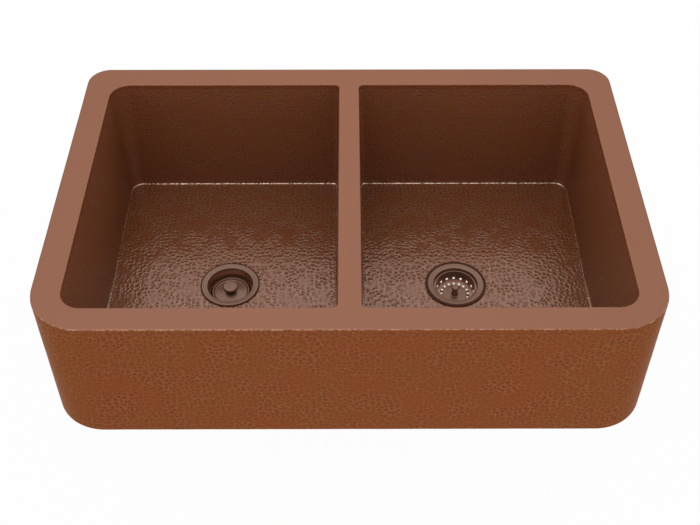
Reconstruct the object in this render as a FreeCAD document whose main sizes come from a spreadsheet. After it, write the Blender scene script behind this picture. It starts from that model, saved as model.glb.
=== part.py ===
"""Double-bowl farmhouse apron front sink in hammered copper, with its two drains.

Units are millimetres.  +X is to the right as the user stands at the apron, +Y
goes to the back, +Z is up.  The origin is in the middle of the sink on the rim
plane, on top of the divider.  Each piece is one object, written to parts/.
"""

import FreeCAD
import Part
import os
import re
import Sketcher

PARTS_FOLDER = "parts"

# (alias, value in mm or a count, what it is)
DIMENSIONS = [
    ("sink_width", 838.2, "overall width, 33 in"),
    ("sink_depth", 558.8, "overall depth front to back, 22 in"),
    ("apron_height", 216.5, "rim plane to the underside of the apron hem"),
    ("copper", 1.6, "thickness of the copper sheet"),
    ("rim_side", 40.5, "width of the flat rim at each end"),
    ("rim_front", 38.7, "width of the flat rim along the apron"),
    ("rim_back", 43.2, "width of the flat rim along the back"),
    ("divider", 32.0, "width of the bridge between the bowls"),
    ("rim_drop", 8.0, "height of the turned-down edges of the rim"),
    ("rim_edge", 3.2, "outer radius of the turned edge round the rim"),
    ("mouth_edge", 1.9, "outer radius of the turned edges of the bowl mouths"),
    ("corner_front", 74.0, "plan radius of the apron corners"),
    ("corner_back", 37.0, "plan radius of the rear corners"),
    ("hem", 14.0, "width of the inward hem under the skirt"),
    ("hem_bend", 3.2, "outer bend radius of the hem"),
    ("seam", 150.0, "Y of the welded seams between apron and rear skirt"),
    ("bowl_depth", 206.5, "rim plane to the bowl floor beside the walls"),
    ("bowl_front", 30.0, "plan radius of the bowl corners at the front"),
    ("bowl_back", 35.0, "plan radius of the bowl corners at the back"),
    ("bowl_inner", 7.0, "plan radius of the bowl corners beside the divider"),
    ("bowl_draft", 4.8, "lean of every bowl wall, from its mouth to the floor"),
    ("floor_front", 18.0, "plan radius of the front corners at the floor"),
    ("floor_back", 20.0, "plan radius of the rear corners at the floor"),
    ("floor_bend", 2.4, "radius between bowl wall and floor"),
    ("floor_fall", 2.0, "drop of the floor from the walls to the drain"),
    ("fall_radius", 135.0, "radius where the fall to the drain begins"),
    ("seat_radius", 53.0, "flat seat pressed round each drain hole"),
    ("drain_hole", 40.0, "radius of the hole cut for each drain"),
    ("left_drain", -188.4, "X of the disposer drain"),
    ("right_drain", 167.8, "X of the strainer drain"),
    ("drain_line", -6.2, "Y of both drains"),
    # disposer drain; heights count from the drain seat
    ("sleeve_flange", 46.7, "radius of the disposer flange"),
    ("sleeve_rise", 1.5, "top of that flange above the seat"),
    ("sleeve_land", 43.3, "radius where its flat edge turns to the slope"),
    ("sleeve_mouth", 35.7, "radius of the throat's mouth"),
    ("mouth_rise", 0.8, "mouth edge above the seat"),
    ("sleeve_wall", 1.6, "thickness of the sleeve"),
    ("cone_top", 2.6, "top of the conical throat, below the seat"),
    ("cone_foot", 20.0, "foot of the conical throat"),
    ("sleeve_waist", 33.3, "inner radius at the foot of the cone"),
    ("sleeve_bore", 32.0, "inner radius of the straight sleeve"),
    ("sleeve_start", 23.6, "start of the straight sleeve"),
    ("sleeve_length", 60.0, "lower end of the sleeve"),
    ("groove_top", 50.0, "top of the rolled groove for the snap ring"),
    ("groove_width", 2.4, "height of that groove"),
    ("groove_sink", 1.1, "depth of that groove"),
    ("groove_slope", 1.2, "height of each slanted side of the groove"),
    ("gasket", 2.5, "thickness of the fibre gasket"),
    ("gasket_radius", 47.5, "outer radius of the fibre gasket"),
    ("collar_bore", 38.2, "inner radius of gaskets and backup flange"),
    ("backup", 2.5, "thickness of the backup flange"),
    ("backup_radius", 52.0, "outer radius of the backup flange"),
    ("ring_bore", 33.9, "inner radius of the mounting ring"),
    ("ring_radius", 43.0, "outer radius of the mounting ring"),
    ("ring_height", 4.0, "thickness of the mounting ring"),
    ("ear_radius", 7.5, "radius of each ear on the mounting ring"),
    ("screw_circle", 47.0, "radius of the circle of mounting screws"),
    ("screw_radius", 3.0, "radius of a mounting screw"),
    ("screw_play", 0.05, "clearance of a screw in its ear"),
    ("screw_head", 5.2, "radius of a screw head"),
    ("head_height", 4.0, "height of a screw head"),
    ("head_drop", 60.0, "top of the screw heads below the seat"),
    ("snap_radius", 36.4, "outer radius of the snap ring"),
    ("snap_sweep", 332.0, "degrees of arc of the split snap ring"),
    # stopper
    ("lip_radius", 29.3, "outer radius of the stopper's raised lip"),
    ("lip_inner", 27.5, "inner radius of that lip"),
    ("lip_top", 13.8, "top of the lip below the seat"),
    ("lip_foot", 16.2, "underside of the lip"),
    ("dish_radius", 25.4, "radius of the dish floor"),
    ("dish_floor", 17.0, "dish floor below the seat"),
    ("dish_base", 19.0, "underside of the dish"),
    ("boss_radius", 21.5, "radius of the boss that carries the seal"),
    ("boss_lip", 23.2, "radius of the lip that keeps the seal on"),
    ("boss_lip_top", 21.4, "top of that lip"),
    ("boss_foot", 23.0, "underside of the boss"),
    ("seal_radius", 33.1, "radius of the stopper seal's edge"),
    ("seal_edge_top", 17.7, "top of the seal's edge"),
    ("seal_edge_foot", 18.7, "underside of the seal's edge"),
    ("seal_shoulder", 29.0, "radius where the seal's lip begins"),
    ("knob_radius", 11.7, "radius of the stopper knob"),
    ("knob_top", 2.3, "flat top of the knob below the seat"),
    ("knob_edge", 1.0, "rounding of the knob's edge"),
    ("knob_side", 7.4, "foot of the knob's straight side"),
    ("knob_neck", 4.2, "radius of the knob's neck"),
    ("neck_top", 9.4, "top of the neck"),
    ("neck_foot", 15.6, "foot of the neck"),
    ("knob_base", 6.0, "radius of the knob's foot on the dish"),
    # basket strainer body and what hangs under it
    ("cup_flange", 47.9, "radius of the strainer flange"),
    ("cup_rise", 1.8, "top of that flange above the seat"),
    ("cup_edge", 1.4, "rounding of the flange's outer edge"),
    ("cup_land", 43.9, "radius where its flat edge turns to the slope"),
    ("cup_mouth", 34.7, "radius of the strainer's mouth"),
    ("cup_mouth_rise", 1.0, "mouth edge above the seat"),
    ("flange_root", 38.9, "radius where both flanges turn down"),
    ("ledge", 5.2, "ledge that carries the basket, below the seat"),
    ("ledge_radius", 33.7, "outer radius of the ledge"),
    ("cup_bore", 31.8, "inner radius of the cup below the ledge"),
    ("cup_waist", 31.2, "inner radius of the cup at the top of its cone"),
    ("barrel", 37.0, "radius of the threaded barrel"),
    ("barrel_foot", 30.0, "foot of the barrel"),
    ("barrel_edge", 1.8, "chamfer at the foot of the barrel"),
    ("cup_seat", 24.0, "radius of the flat bottom that the plug seals"),
    ("cup_bottom", 44.0, "that bottom below the seat"),
    ("cup_base", 47.0, "underside of the cup"),
    ("cup_base_radius", 26.0, "outer radius of the underside"),
    ("stub_radius", 22.5, "radius of the threaded outlet stub"),
    ("stub_bore", 18.0, "inner radius of the outlet stub"),
    ("stub_foot", 60.0, "lower end of the outlet stub"),
    ("spider_top", 47.5, "top of the spider in the outlet"),
    ("spider_foot", 51.5, "underside of the spider"),
    ("spider_bar", 3.0, "width of a spider bar"),
    ("spider_boss", 6.8, "radius of the spider's hub"),
    ("spider_bore", 4.1, "radius of the hole in that hub"),
    ("spider_bars", 4, "number of spider bars"),
    ("washer", 3.2, "thickness of the rubber washer under the sink"),
    ("washer_radius", 49.0, "outer radius of washer and friction ring"),
    ("friction", 1.2, "thickness of the fibre friction ring"),
    ("nut_height", 11.0, "height of the strainer locknut"),
    ("nut_radius", 44.0, "outer radius of the locknut"),
    ("nut_play", 0.1, "clearance between nuts and threads"),
    ("nut_lugs", 6, "number of lugs on each nut"),
    ("lug_width", 12.0, "width of a locknut lug"),
    ("lug_reach", 49.5, "radius of the locknut lugs"),
    ("pipe", 19.05, "outer radius of the tailpiece, 1-1/2 in tube"),
    ("pipe_bore", 17.7, "inner radius of the tailpiece"),
    ("pipe_length", 101.6, "length of the tailpiece under its flange, 4 in"),
    ("pipe_flange", 22.2, "radius of the flange on the tailpiece"),
    ("pipe_lip", 1.8, "thickness of that flange"),
    ("pipe_root", 0.4, "swelling of the tube where the flange is rolled"),
    ("root_height", 3.0, "height of that swelling under the flange"),
    ("pipe_washer", 2.4, "thickness of the washer above it"),
    ("slip_radius", 26.4, "outer radius of the coupling nut"),
    ("slip_top", 50.5, "top of the coupling nut below the seat"),
    ("slip_web", 2.2, "thickness of the nut's inward web"),
    ("slip_play", 0.6, "clearance of the tailpiece in that web"),
    ("slip_lug", 8.0, "width of a coupling nut lug"),
    ("slip_reach", 29.4, "radius of the coupling nut lugs"),
    # basket and its post
    ("basket_rim", 32.5, "outer radius of the basket's rolled rim"),
    ("basket_mouth", 30.7, "inner radius of the basket at its rim"),
    ("basket_top", 2.5, "top of the rim below the seat"),
    ("basket_bead", 4.9, "underside of the rolled rim"),
    ("basket_steel", 0.9, "thickness of the basket's wall"),
    ("basket_foot", 28.8, "inner radius at the foot of the wall"),
    ("basket_corner", 18.3, "foot of the wall below the seat"),
    ("step_outer", 27.8, "outer radius of the flat step"),
    ("step_inner", 23.6, "inner radius of the flat step"),
    ("step_level", 19.4, "top of the step below the seat"),
    ("base_radius", 18.8, "radius of the basket's flat bottom"),
    ("base_level", 21.5, "top of that bottom below the seat"),
    ("hub_radius", 7.0, "radius of the hub under the bottom"),
    ("hub_foot", 24.6, "underside of the hub"),
    ("hole_radius", 1.9, "radius of every drain hole of the basket"),
    ("hole_count", 16, "drain holes in each row"),
    ("wall_row", 16.0, "height of the upper row below the seat"),
    ("step_row", 21.2, "radius of the lower row"),
    ("stem", 3.0, "radius of the post"),
    ("stem_play", 0.06, "clearance of the post in the basket's hub"),
    ("stem_top", 13.0, "top of the post inside its knob"),
    ("stem_foot", 46.0, "foot of the post"),
    ("pull_radius", 6.0, "radius of the basket knob's head"),
    ("pull_top", 5.0, "top of the knob below the seat"),
    ("pull_edge", 1.3, "rounding of its head"),
    ("pull_side", 7.6, "foot of the head's straight side"),
    ("pull_neck", 4.4, "radius of its neck"),
    ("pull_neck_top", 9.4, "top of the neck"),
    ("pull_neck_foot", 18.4, "foot of the neck"),
    ("pull_base", 5.6, "radius of the knob's foot"),
    ("pull_foot", 21.2, "underside of the knob, just over the basket"),
    ("plug_radius", 21.4, "radius of the rubber plug on the post"),
    ("plug_top", 39.6, "top of the plug's hub"),
    ("plug_hub", 7.5, "radius of the plug's hub"),
    ("plug_slope", 41.6, "top of the plug's edge"),
    ("plug_foot", 43.7, "underside of the plug"),
    ("clip_radius", 3.7, "widest radius of the spring clip"),
    ("clip_neck", 2.6, "radius of the clip's neck"),
    ("clip_wide", 50.0, "height where the clip is widest"),
    ("clip_foot", 54.0, "tip of the clip"),
    ("clip_tip", 2.0, "radius of that tip"),
    ("clip_slot", 1.2, "width of the slot between the clip's prongs"),
]

ALIASES = {alias for alias, _, _ in DIMENSIONS}

document = FreeCAD.newDocument("apron_sink")
sheet = document.addObject("Spreadsheet::Sheet", "dims")


def fill_sheet():
    """One row for each driving dimension: its name, value and meaning."""
    for row, (alias, value, meaning) in enumerate(DIMENSIONS, start=1):
        sheet.set(f"A{row}", alias)
        sheet.set(f"B{row}", str(value))
        sheet.set(f"C{row}", meaning)
        sheet.setAlias(f"B{row}", alias)
    document.recompute()


def bound(text):
    """The expression in the sheet's terms: every alias gets its dims. prefix."""
    def prefixed(word):
        name = word.group()
        return f"dims.{name}" if name in ALIASES else name
    return re.sub(r"[a-z_]+", prefixed, text)


def measure(text):
    """The present value of an expression."""
    return float(sheet.evalExpression(bound(text)))


# ---------------------------------------------------------------- sketches

def plane_of(body, role):
    return next(item for item in body.Origin.OriginFeatures if item.Role == role)


def new_body(label, x="0", y="0", z="0"):
    """A body whose placement follows the sheet."""
    body = document.addObject("PartDesign::Body", label)
    body.Label = label
    for axis, text in zip("xyz", (x, y, z)):
        body.setExpression(f"Placement.Base.{axis}", bound(text))
    return body


def new_sketch(body, name, role="XY_Plane", height="0"):
    """A sketch on one of the body's own planes, shifted along its normal."""
    sketch = body.newObject("Sketcher::SketchObject", f"{body.Name}_{name}")
    sketch.AttachmentSupport = [(plane_of(body, role), "")]
    sketch.MapMode = "FlatFace"
    sketch.setExpression("AttachmentOffset.Base.z", bound(height))
    return sketch


def fix(sketch, kind, *arguments, value):
    """A dimension of the sketch that follows an expression."""
    index = sketch.addConstraint(Sketcher.Constraint(kind, *arguments, measure(value)))
    sketch.setExpression(f"Constraints[{index}]", bound(value))


def fix_point(sketch, item, end, x, y):
    """Place one end of a line or the centre of a circle."""
    fix(sketch, "DistanceX", -1, 1, item, end, value=x)
    fix(sketch, "DistanceY", -1, 1, item, end, value=y)


def draw_circle(sketch, x, y, radius):
    centre = FreeCAD.Vector(measure(x), measure(y), 0)
    normal = FreeCAD.Vector(0, 0, 1)
    item = sketch.addGeometry(Part.Circle(centre, normal, measure(radius)), False)
    fix(sketch, "Radius", item, value=radius)
    fix_point(sketch, item, 3, x, y)


def draw_polygon(sketch, points):
    """A closed outline of straight sides through (x, y) expressions."""
    corners = [FreeCAD.Vector(measure(x), measure(y), 0) for x, y in points]
    count = len(points)
    sides = [sketch.addGeometry(Part.LineSegment(corners[i], corners[(i + 1) % count]), False)
             for i in range(count)]
    for i, (x, y) in enumerate(points):
        sketch.addConstraint(Sketcher.Constraint("Coincident", sides[i - 1], 2, sides[i], 1))
        fix_point(sketch, sides[i], 1, x, y)


def draw_rounded(sketch, left, right, front, back, radii):
    """A rectangle with four rounded corners: radii go round from front left."""
    x0, x1, y0, y1 = (measure(text) for text in (left, right, front, back))
    sizes = [measure(text) for text in radii]
    corner = [(x0, y0, 1, 1), (x1, y0, -1, 1), (x1, y1, -1, -1), (x0, y1, 1, -1)]
    starts, middles, ends = [], [], []
    for i, ((x, y, inward_x, inward_y), size) in enumerate(zip(corner, sizes)):
        along_x = FreeCAD.Vector(x + inward_x * size, y, 0)
        along_y = FreeCAD.Vector(x, y + inward_y * size, 0)
        inset = size * (1 - 0.5 ** 0.5)
        starts.append(along_y if i % 2 == 0 else along_x)
        middles.append(FreeCAD.Vector(x + inward_x * inset, y + inward_y * inset, 0))
        ends.append(along_x if i % 2 == 0 else along_y)
    arcs = [sketch.addGeometry(Part.Arc(*points), False) for points in zip(starts, middles, ends)]
    lines = [sketch.addGeometry(Part.LineSegment(ends[i], starts[(i + 1) % 4]), False)
             for i in range(4)]
    for i in range(4):
        sketch.addConstraint(Sketcher.Constraint("Tangent", arcs[i], 2, lines[i], 1))
        sketch.addConstraint(Sketcher.Constraint("Tangent", lines[i], 2, arcs[(i + 1) % 4], 1))
        sketch.addConstraint(Sketcher.Constraint("Vertical" if i % 2 else "Horizontal", lines[i]))
        fix(sketch, "Radius", arcs[i], value=radii[i])
    fix(sketch, "DistanceX", -1, 1, lines[3], 1, value=left)
    fix(sketch, "DistanceX", -1, 1, lines[1], 1, value=right)
    fix(sketch, "DistanceY", -1, 1, lines[0], 1, value=front)
    fix(sketch, "DistanceY", -1, 1, lines[2], 1, value=back)


# ---------------------------------------------------------------- features

def pad_down(body, sketch, length):
    """Fill the sketch's outline from its plane downwards."""
    pad = body.newObject("PartDesign::Pad", f"{sketch.Name}_pad")
    pad.Profile = sketch
    pad.setExpression("Length", bound(length))
    pad.Reversed = True
    document.recompute()
    return pad


def revolve(body, points):
    """The solid turned by a half section of (radius, height) corners."""
    sketch = new_sketch(body, "section", "XZ_Plane")
    draw_polygon(sketch, points)
    turned = body.newObject("PartDesign::Revolution", f"{body.Name}_turned")
    turned.Profile = sketch
    turned.ReferenceAxis = (sketch, ["V_Axis"])
    turned.Angle = 360
    document.recompute()
    return turned


def pocket_down(body, name, sketch, length):
    """Cut the sketch's outline from its plane downwards."""
    before = body.Shape.Volume
    feature = body.newObject("PartDesign::Pocket", f"{body.Name}_{name}")
    feature.Profile = sketch
    feature.setExpression("Length", bound(length))
    document.recompute()
    if not feature.Shape.Volume < before:
        raise RuntimeError(f"{feature.Name} cuts nothing")
    return feature


def round_edges(body, name, radius, wanted):
    """Fillet the edges of the body for which wanted(edge) holds."""
    base = body.Tip
    names = [f"Edge{i}" for i, edge in enumerate(base.Shape.Edges, start=1) if wanted(edge)]
    fillet = body.newObject("PartDesign::Fillet", f"{body.Name}_{name}")
    fillet.Base = (base, names)
    fillet.setExpression("Radius", bound(radius))
    document.recompute()
    return fillet


def repeat_round(body, feature, count, angle=360):
    """Repeat a feature about the body's own Z axis."""
    pattern = body.newObject("PartDesign::PolarPattern", f"{feature.Name}_round")
    pattern.Originals = [feature]
    pattern.Axis = (plane_of(body, "Z_Axis"), [""])
    pattern.Angle = angle
    pattern.setExpression("Occurrences", bound(count))
    body.Tip = pattern
    document.recompute()
    return pattern


def level(edge, height):
    """Whether an edge lies in the horizontal plane at a height of its body."""
    box = edge.BoundBox
    return abs(box.ZMin - height) < 1e-4 and abs(box.ZMax - height) < 1e-4


# ---------------------------------------------------------------- sheet copper

def draw_plan(sketch, inset):
    """The outline of the whole sink, drawn inset from its outer face."""
    draw_rounded(sketch,
                 f"-sink_width / 2 + {inset}", f"sink_width / 2 - ({inset})",
                 f"-sink_depth / 2 + {inset}", f"sink_depth / 2 - ({inset})",
                 [f"corner_front - ({inset})"] * 2 + [f"corner_back - ({inset})"] * 2)


def draw_bowl(sketch, side, wall="0", draft="0", corners=("bowl_front", "bowl_back")):
    """A bowl's outline, wall outside its inner face: side is -1 for the left, 1 for the right."""
    outset = f"{wall} - {draft}"
    near = f"divider / 2 - ({outset})"
    far = f"sink_width / 2 - rim_side + {outset}"
    left, right = (f"-({far})", f"-({near})") if side < 0 else (near, far)
    outer = [f"{radius} + {wall}" for radius in corners]
    inner = f"bowl_inner + {wall}"
    radii = [outer[0], inner, inner, outer[1]] if side < 0 else [inner, outer[0], outer[1], inner]
    draw_rounded(sketch, left, right,
                 f"-sink_depth / 2 + rim_front - ({outset})",
                 f"sink_depth / 2 - rim_back + {outset}", radii)


def at_mouth(edge):
    """Whether an edge belongs to a bowl mouth and not to the sink's outline."""
    box = edge.BoundBox
    slack = measure("2 * copper")
    far = measure("sink_width / 2 - rim_side") + slack
    front = measure("-sink_depth / 2 + rim_front") - slack
    back = measure("sink_depth / 2 - rim_back") + slack
    return box.XMin > -far and box.XMax < far and box.YMin > front and box.YMax < back


def make_rim_deck():
    """The flat rim and divider bridge, with every edge turned down."""
    body = new_body("rim_deck")
    plan = new_sketch(body, "plan")
    draw_plan(plan, "0")
    pad_down(body, plan, "rim_drop")
    mouths = new_sketch(body, "mouths")
    for side in (-1, 1):
        draw_bowl(mouths, side)
    pocket_down(body, "bowl_mouths", mouths, "rim_drop")
    round_edges(body, "edge", "rim_edge", lambda edge: level(edge, 0) and not at_mouth(edge))
    round_edges(body, "mouth", "mouth_edge", lambda edge: level(edge, 0) and at_mouth(edge))
    hollow = new_sketch(body, "hollow", height="-copper")
    draw_plan(hollow, "copper")
    for side in (-1, 1):
        draw_bowl(hollow, side, "copper")
    pocket_down(body, "underside", hollow, "rim_drop - copper")
    ceiling = -measure("copper")
    round_edges(body, "inner_edge", "rim_edge - copper",
                lambda edge: level(edge, ceiling) and not at_mouth(edge))
    round_edges(body, "inner_mouth", "mouth_edge - copper",
                lambda edge: level(edge, ceiling) and at_mouth(edge))
    return body


def make_skirt(label, far_side):
    """One half of the outer wall with its inward hem; far_side is the Y cut away."""
    body = new_body(label)
    block = new_sketch(body, "block", height="-rim_drop")
    draw_plan(block, "0")
    pad_down(body, block, "apron_height - rim_drop")
    base = -measure("apron_height")
    round_edges(body, "hem_bend", "hem_bend", lambda edge: level(edge, base))
    inside = new_sketch(body, "inside", height="-rim_drop")
    draw_plan(inside, "copper")
    pocket_down(body, "room", inside, "apron_height - rim_drop - copper")
    hem_top = base + measure("copper")
    round_edges(body, "hem_inside", "hem_bend - copper", lambda edge: level(edge, hem_top))
    opening = new_sketch(body, "opening", height="-rim_drop")
    draw_plan(opening, "hem")
    pocket_down(body, "base_opening", opening, "apron_height")
    other_half = new_sketch(body, "other_half")
    draw_polygon(other_half, [("-sink_width", "seam"), ("sink_width", "seam"),
                              ("sink_width", far_side), ("-sink_width", far_side)])
    pocket_down(body, "seam_cut", other_half, "2 * apron_height")
    return body


def make_bowl(label, side, drain):
    """A bowl of copper sheet, its floor falling to a flat seat round the drain."""
    body = new_body(label)
    loft_bowl(body, "AdditiveLoft", side, "copper", "bowl_depth + copper")
    add_fall(body, "PartDesign::Revolution", drain, "bowl_depth + copper")
    loft_bowl(body, "SubtractiveLoft", side, "0", "bowl_depth")
    floor = -measure("bowl_depth")
    round_edges(body, "inner_bend", "floor_bend", lambda edge: level(edge, floor))
    underside = -measure("bowl_depth + copper")
    round_edges(body, "outer_bend", "floor_bend + copper",
                lambda edge: level(edge, underside) and not edge.Closed)
    add_fall(body, "PartDesign::Groove", drain, "bowl_depth")
    hole = new_sketch(body, "drain_hole", height="-rim_drop")
    draw_circle(hole, drain, "drain_line", "drain_hole")
    pocket_down(body, "drain_opening", hole, "bowl_depth + 10 * copper")
    return body


def loft_bowl(body, kind, side, wall, depth):
    """The leaning walls of a bowl, from the rim's turned edge down to a depth."""
    mouth = new_sketch(body, f"{kind}_mouth", height="-rim_drop")
    draw_bowl(mouth, side, wall)
    foot = new_sketch(body, f"{kind}_foot", height=f"-({depth})")
    draw_bowl(foot, side, wall, "bowl_draft", ("floor_front", "floor_back"))
    feature = body.newObject(f"PartDesign::{kind}", f"{body.Name}_{kind}")
    feature.Profile = mouth
    feature.Sections = [foot]
    feature.Ruled = True
    document.recompute()
    return feature


def add_fall(body, kind, drain, top):
    """The shallow cone of the floor's fall, added below or cut out of a flat floor."""
    before = body.Shape.Volume
    sketch = new_sketch(body, kind.split("::")[1], "XZ_Plane", "-drain_line")
    points = [(drain, f"-({top})"), (f"{drain} + fall_radius", f"-({top})"),
              (f"{drain} + seat_radius", f"-({top} + floor_fall)"),
              (drain, f"-({top} + floor_fall)")]
    draw_polygon(sketch, points)
    axis = sketch.addGeometry(Part.LineSegment(
        FreeCAD.Vector(measure(drain), 0, 0), FreeCAD.Vector(measure(drain), 10, 0)), True)
    fix_point(sketch, axis, 1, drain, "0")
    fix_point(sketch, axis, 2, drain, "10")
    feature = body.newObject(kind, f"{body.Name}_fall")
    feature.Profile = sketch
    feature.ReferenceAxis = (sketch, ["Axis0"])
    feature.Angle = 360
    document.recompute()
    grows = body.Shape.Volume > before
    if grows != (kind == "PartDesign::Revolution"):
        raise RuntimeError(f"{feature.Name} changes nothing")


# ---------------------------------------------------------------- disposer drain

SEAT = "-(bowl_depth + floor_fall)"


def drain_body(label, drain):
    """A body whose origin is the middle of a drain, level with its seat."""
    return new_body(label, drain, "drain_line", SEAT)


def make_ring(label, drain, inner, outer, top, height):
    """A plain ring: a gasket, washer or flat flange, top counting downwards."""
    body = drain_body(label, drain)
    foot = f"-({top} + {height})"
    revolve(body, [(inner, f"-({top})"), (outer, f"-({top})"), (outer, foot), (inner, foot)])
    return body


def make_disposal_flange():
    """The sink flange and sleeve: a dished flange, a conical throat, a rolled groove."""
    body = drain_body("disposal_flange", "left_drain")
    wall = "sleeve_bore + sleeve_wall"
    groove_foot = "groove_top + groove_width"
    revolve(body, [
        ("sleeve_mouth", "mouth_rise"),
        ("sleeve_land", "sleeve_rise"),
        ("sleeve_flange", "sleeve_rise"),
        ("sleeve_flange", "0"),
        ("flange_root", "0"),
        ("sleeve_mouth + sleeve_wall", "-cone_top"),
        ("sleeve_waist + sleeve_wall", "-cone_foot"),
        (wall, "-sleeve_start"),
        (wall, "-(groove_top - groove_slope)"),
        (f"{wall} - groove_sink", "-groove_top"),
        (f"{wall} - groove_sink", f"-({groove_foot})"),
        (wall, f"-({groove_foot} + groove_slope)"),
        (wall, "-sleeve_length"),
        ("sleeve_bore", "-sleeve_length"),
        ("sleeve_bore", f"-({groove_foot} + groove_slope)"),
        ("sleeve_bore - groove_sink", f"-({groove_foot})"),
        ("sleeve_bore - groove_sink", "-groove_top"),
        ("sleeve_bore", "-(groove_top - groove_slope)"),
        ("sleeve_bore", "-sleeve_start"),
        ("sleeve_waist", "-cone_foot"),
        ("sleeve_mouth - 0.4 * sleeve_wall", "-cone_top"),
    ])
    return body


def make_mounting_ring():
    """The ring that rests on the snap ring, with an ear for each screw."""
    body = drain_body("mounting_ring", "left_drain")
    top = "groove_top - ring_height"
    foot = "-groove_top"
    revolve(body, [("ring_bore", f"-({top})"), ("ring_radius", f"-({top})"),
                   ("ring_radius", foot), ("ring_bore", foot)])
    ear = new_sketch(body, "ear", height=f"-({top})")
    draw_circle(ear, "screw_circle", "0", "ear_radius")
    repeat_round(body, pad_down(body, ear, "ring_height"), "3")
    hole = new_sketch(body, "hole", height=f"-({top})")
    draw_circle(hole, "screw_circle", "0", "screw_radius + screw_play")
    repeat_round(body, pocket_down(body, "screw_hole", hole, "ring_height"), "3")
    return body


def make_mounting_screws():
    """Three headed screws that push the backup flange up against the sink."""
    tip = "gasket + backup + copper"
    pieces = []
    for turn in range(3):
        for part, radius, foot, height in [
                ("shank", "screw_radius", "head_drop", f"head_drop - ({tip})"),
                ("head", "screw_head", "head_drop + head_height", "head_height")]:
            cylinder = document.addObject("Part::Cylinder", f"screw_{part}")
            cylinder.setExpression("Radius", bound(radius))
            cylinder.setExpression("Height", bound(height))
            angle = f"{120 * turn} deg"
            cylinder.setExpression("Placement.Base.x", bound(f"screw_circle * cos({angle})"))
            cylinder.setExpression("Placement.Base.y", bound(f"screw_circle * sin({angle})"))
            cylinder.setExpression("Placement.Base.z", bound(f"-({foot})"))
            pieces.append(cylinder)
    screws = document.addObject("Part::MultiFuse", "mounting_screws")
    screws.Label = "mounting_screws"
    screws.Shapes = pieces
    for axis, text in zip("xyz", ("left_drain", "drain_line", SEAT)):
        screws.setExpression(f"Placement.Base.{axis}", bound(text))
    document.recompute()
    return screws


def make_snap_ring():
    """The split ring of flat section that sits in the sleeve's groove."""
    body = drain_body("snap_ring", "left_drain")
    inner = "sleeve_bore + sleeve_wall - groove_sink"
    turned = revolve(body, [(inner, "-groove_top"), ("snap_radius", "-groove_top"),
                            ("snap_radius", "-(groove_top + groove_width)"),
                            (inner, "-(groove_top + groove_width)")])
    turned.setExpression("Angle", bound("snap_sweep"))
    document.recompute()
    return body


def make_stopper():
    """The lift-out stopper: dish, knob and rubber seal."""
    dish = drain_body("stopper_dish", "left_drain")
    revolve(dish, [
        ("0", "-dish_floor"), ("dish_radius", "-dish_floor"), ("lip_inner", "-lip_top"),
        ("lip_radius", "-lip_top"), ("lip_radius", "-lip_foot"),
        ("boss_radius + 4", "-dish_base"), ("boss_radius", "-dish_base"),
        ("boss_radius", "-boss_lip_top"), ("boss_lip", "-boss_lip_top"),
        ("boss_lip", "-boss_foot"), ("0", "-boss_foot")])
    knob = drain_body("stopper_knob", "left_drain")
    revolve(knob, [
        ("0", "-knob_top"), ("knob_radius - knob_edge", "-knob_top"),
        ("knob_radius", "-(knob_top + knob_edge)"), ("knob_radius", "-knob_side"),
        ("knob_neck", "-neck_top"), ("knob_neck", "-neck_foot"),
        ("knob_base", "-dish_floor"), ("0", "-dish_floor")])
    seal = drain_body("stopper_seal", "left_drain")
    revolve(seal, [
        ("boss_radius", "-dish_base"), ("seal_shoulder", "-dish_base"),
        ("seal_radius", "-seal_edge_top"), ("seal_radius", "-seal_edge_foot"),
        ("seal_shoulder", "-boss_lip_top"), ("boss_radius", "-boss_lip_top")])
    return [dish, knob, seal]


# ---------------------------------------------------------------- basket strainer

def make_strainer_body():
    """The strainer cup: dished flange, basket ledge, threaded barrel, flat bottom."""
    body = drain_body("strainer_body", "right_drain")
    revolve(body, [
        ("cup_mouth", "cup_mouth_rise"),
        ("cup_land", "cup_rise"),
        ("cup_flange", "cup_rise"),
        ("cup_flange", "0"),
        ("flange_root", "0"),
        ("barrel", "-cone_top"),
        ("barrel", "-(barrel_foot - barrel_edge)"),
        ("barrel - barrel_edge", "-barrel_foot"),
        ("cup_base_radius", "-cup_base"),
        ("stub_bore", "-cup_base"),
        ("stub_bore", "-cup_bottom"),
        ("cup_seat", "-cup_bottom"),
        ("cup_waist", "-barrel_foot"),
        ("cup_bore", "-ledge"),
        ("ledge_radius", "-ledge"),
    ])
    rise = measure("cup_rise")
    outer = measure("cup_flange")
    round_edges(body, "flange_edge", "cup_edge",
                lambda edge: level(edge, rise) and edge.BoundBox.XMax > outer - 1e-4)
    return body


def make_outlet_stub():
    """The threaded outlet brazed under the cup, with the spider that guides the post."""
    body = drain_body("outlet_stub", "right_drain")
    revolve(body, [("stub_bore", "-cup_base"), ("stub_radius", "-cup_base"),
                   ("stub_radius", "-stub_foot"), ("stub_bore", "-stub_foot")])
    bar = new_sketch(body, "bar", height="-spider_top")
    half = "spider_bar / 2"
    draw_polygon(bar, [("spider_bore + 1", f"-{half}"), ("stub_bore + 0.5", f"-{half}"),
                       ("stub_bore + 0.5", half), ("spider_bore + 1", half)])
    repeat_round(body, pad_down(body, bar, "spider_foot - spider_top"), "spider_bars")
    hub = new_sketch(body, "hub", height="-spider_top")
    draw_circle(hub, "0", "0", "spider_boss")
    pad_down(body, hub, "spider_foot - spider_top")
    bore = new_sketch(body, "bore", height="-spider_top")
    draw_circle(bore, "0", "0", "spider_bore")
    pocket_down(body, "spider_hole", bore, "spider_foot - spider_top")
    return body


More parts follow.
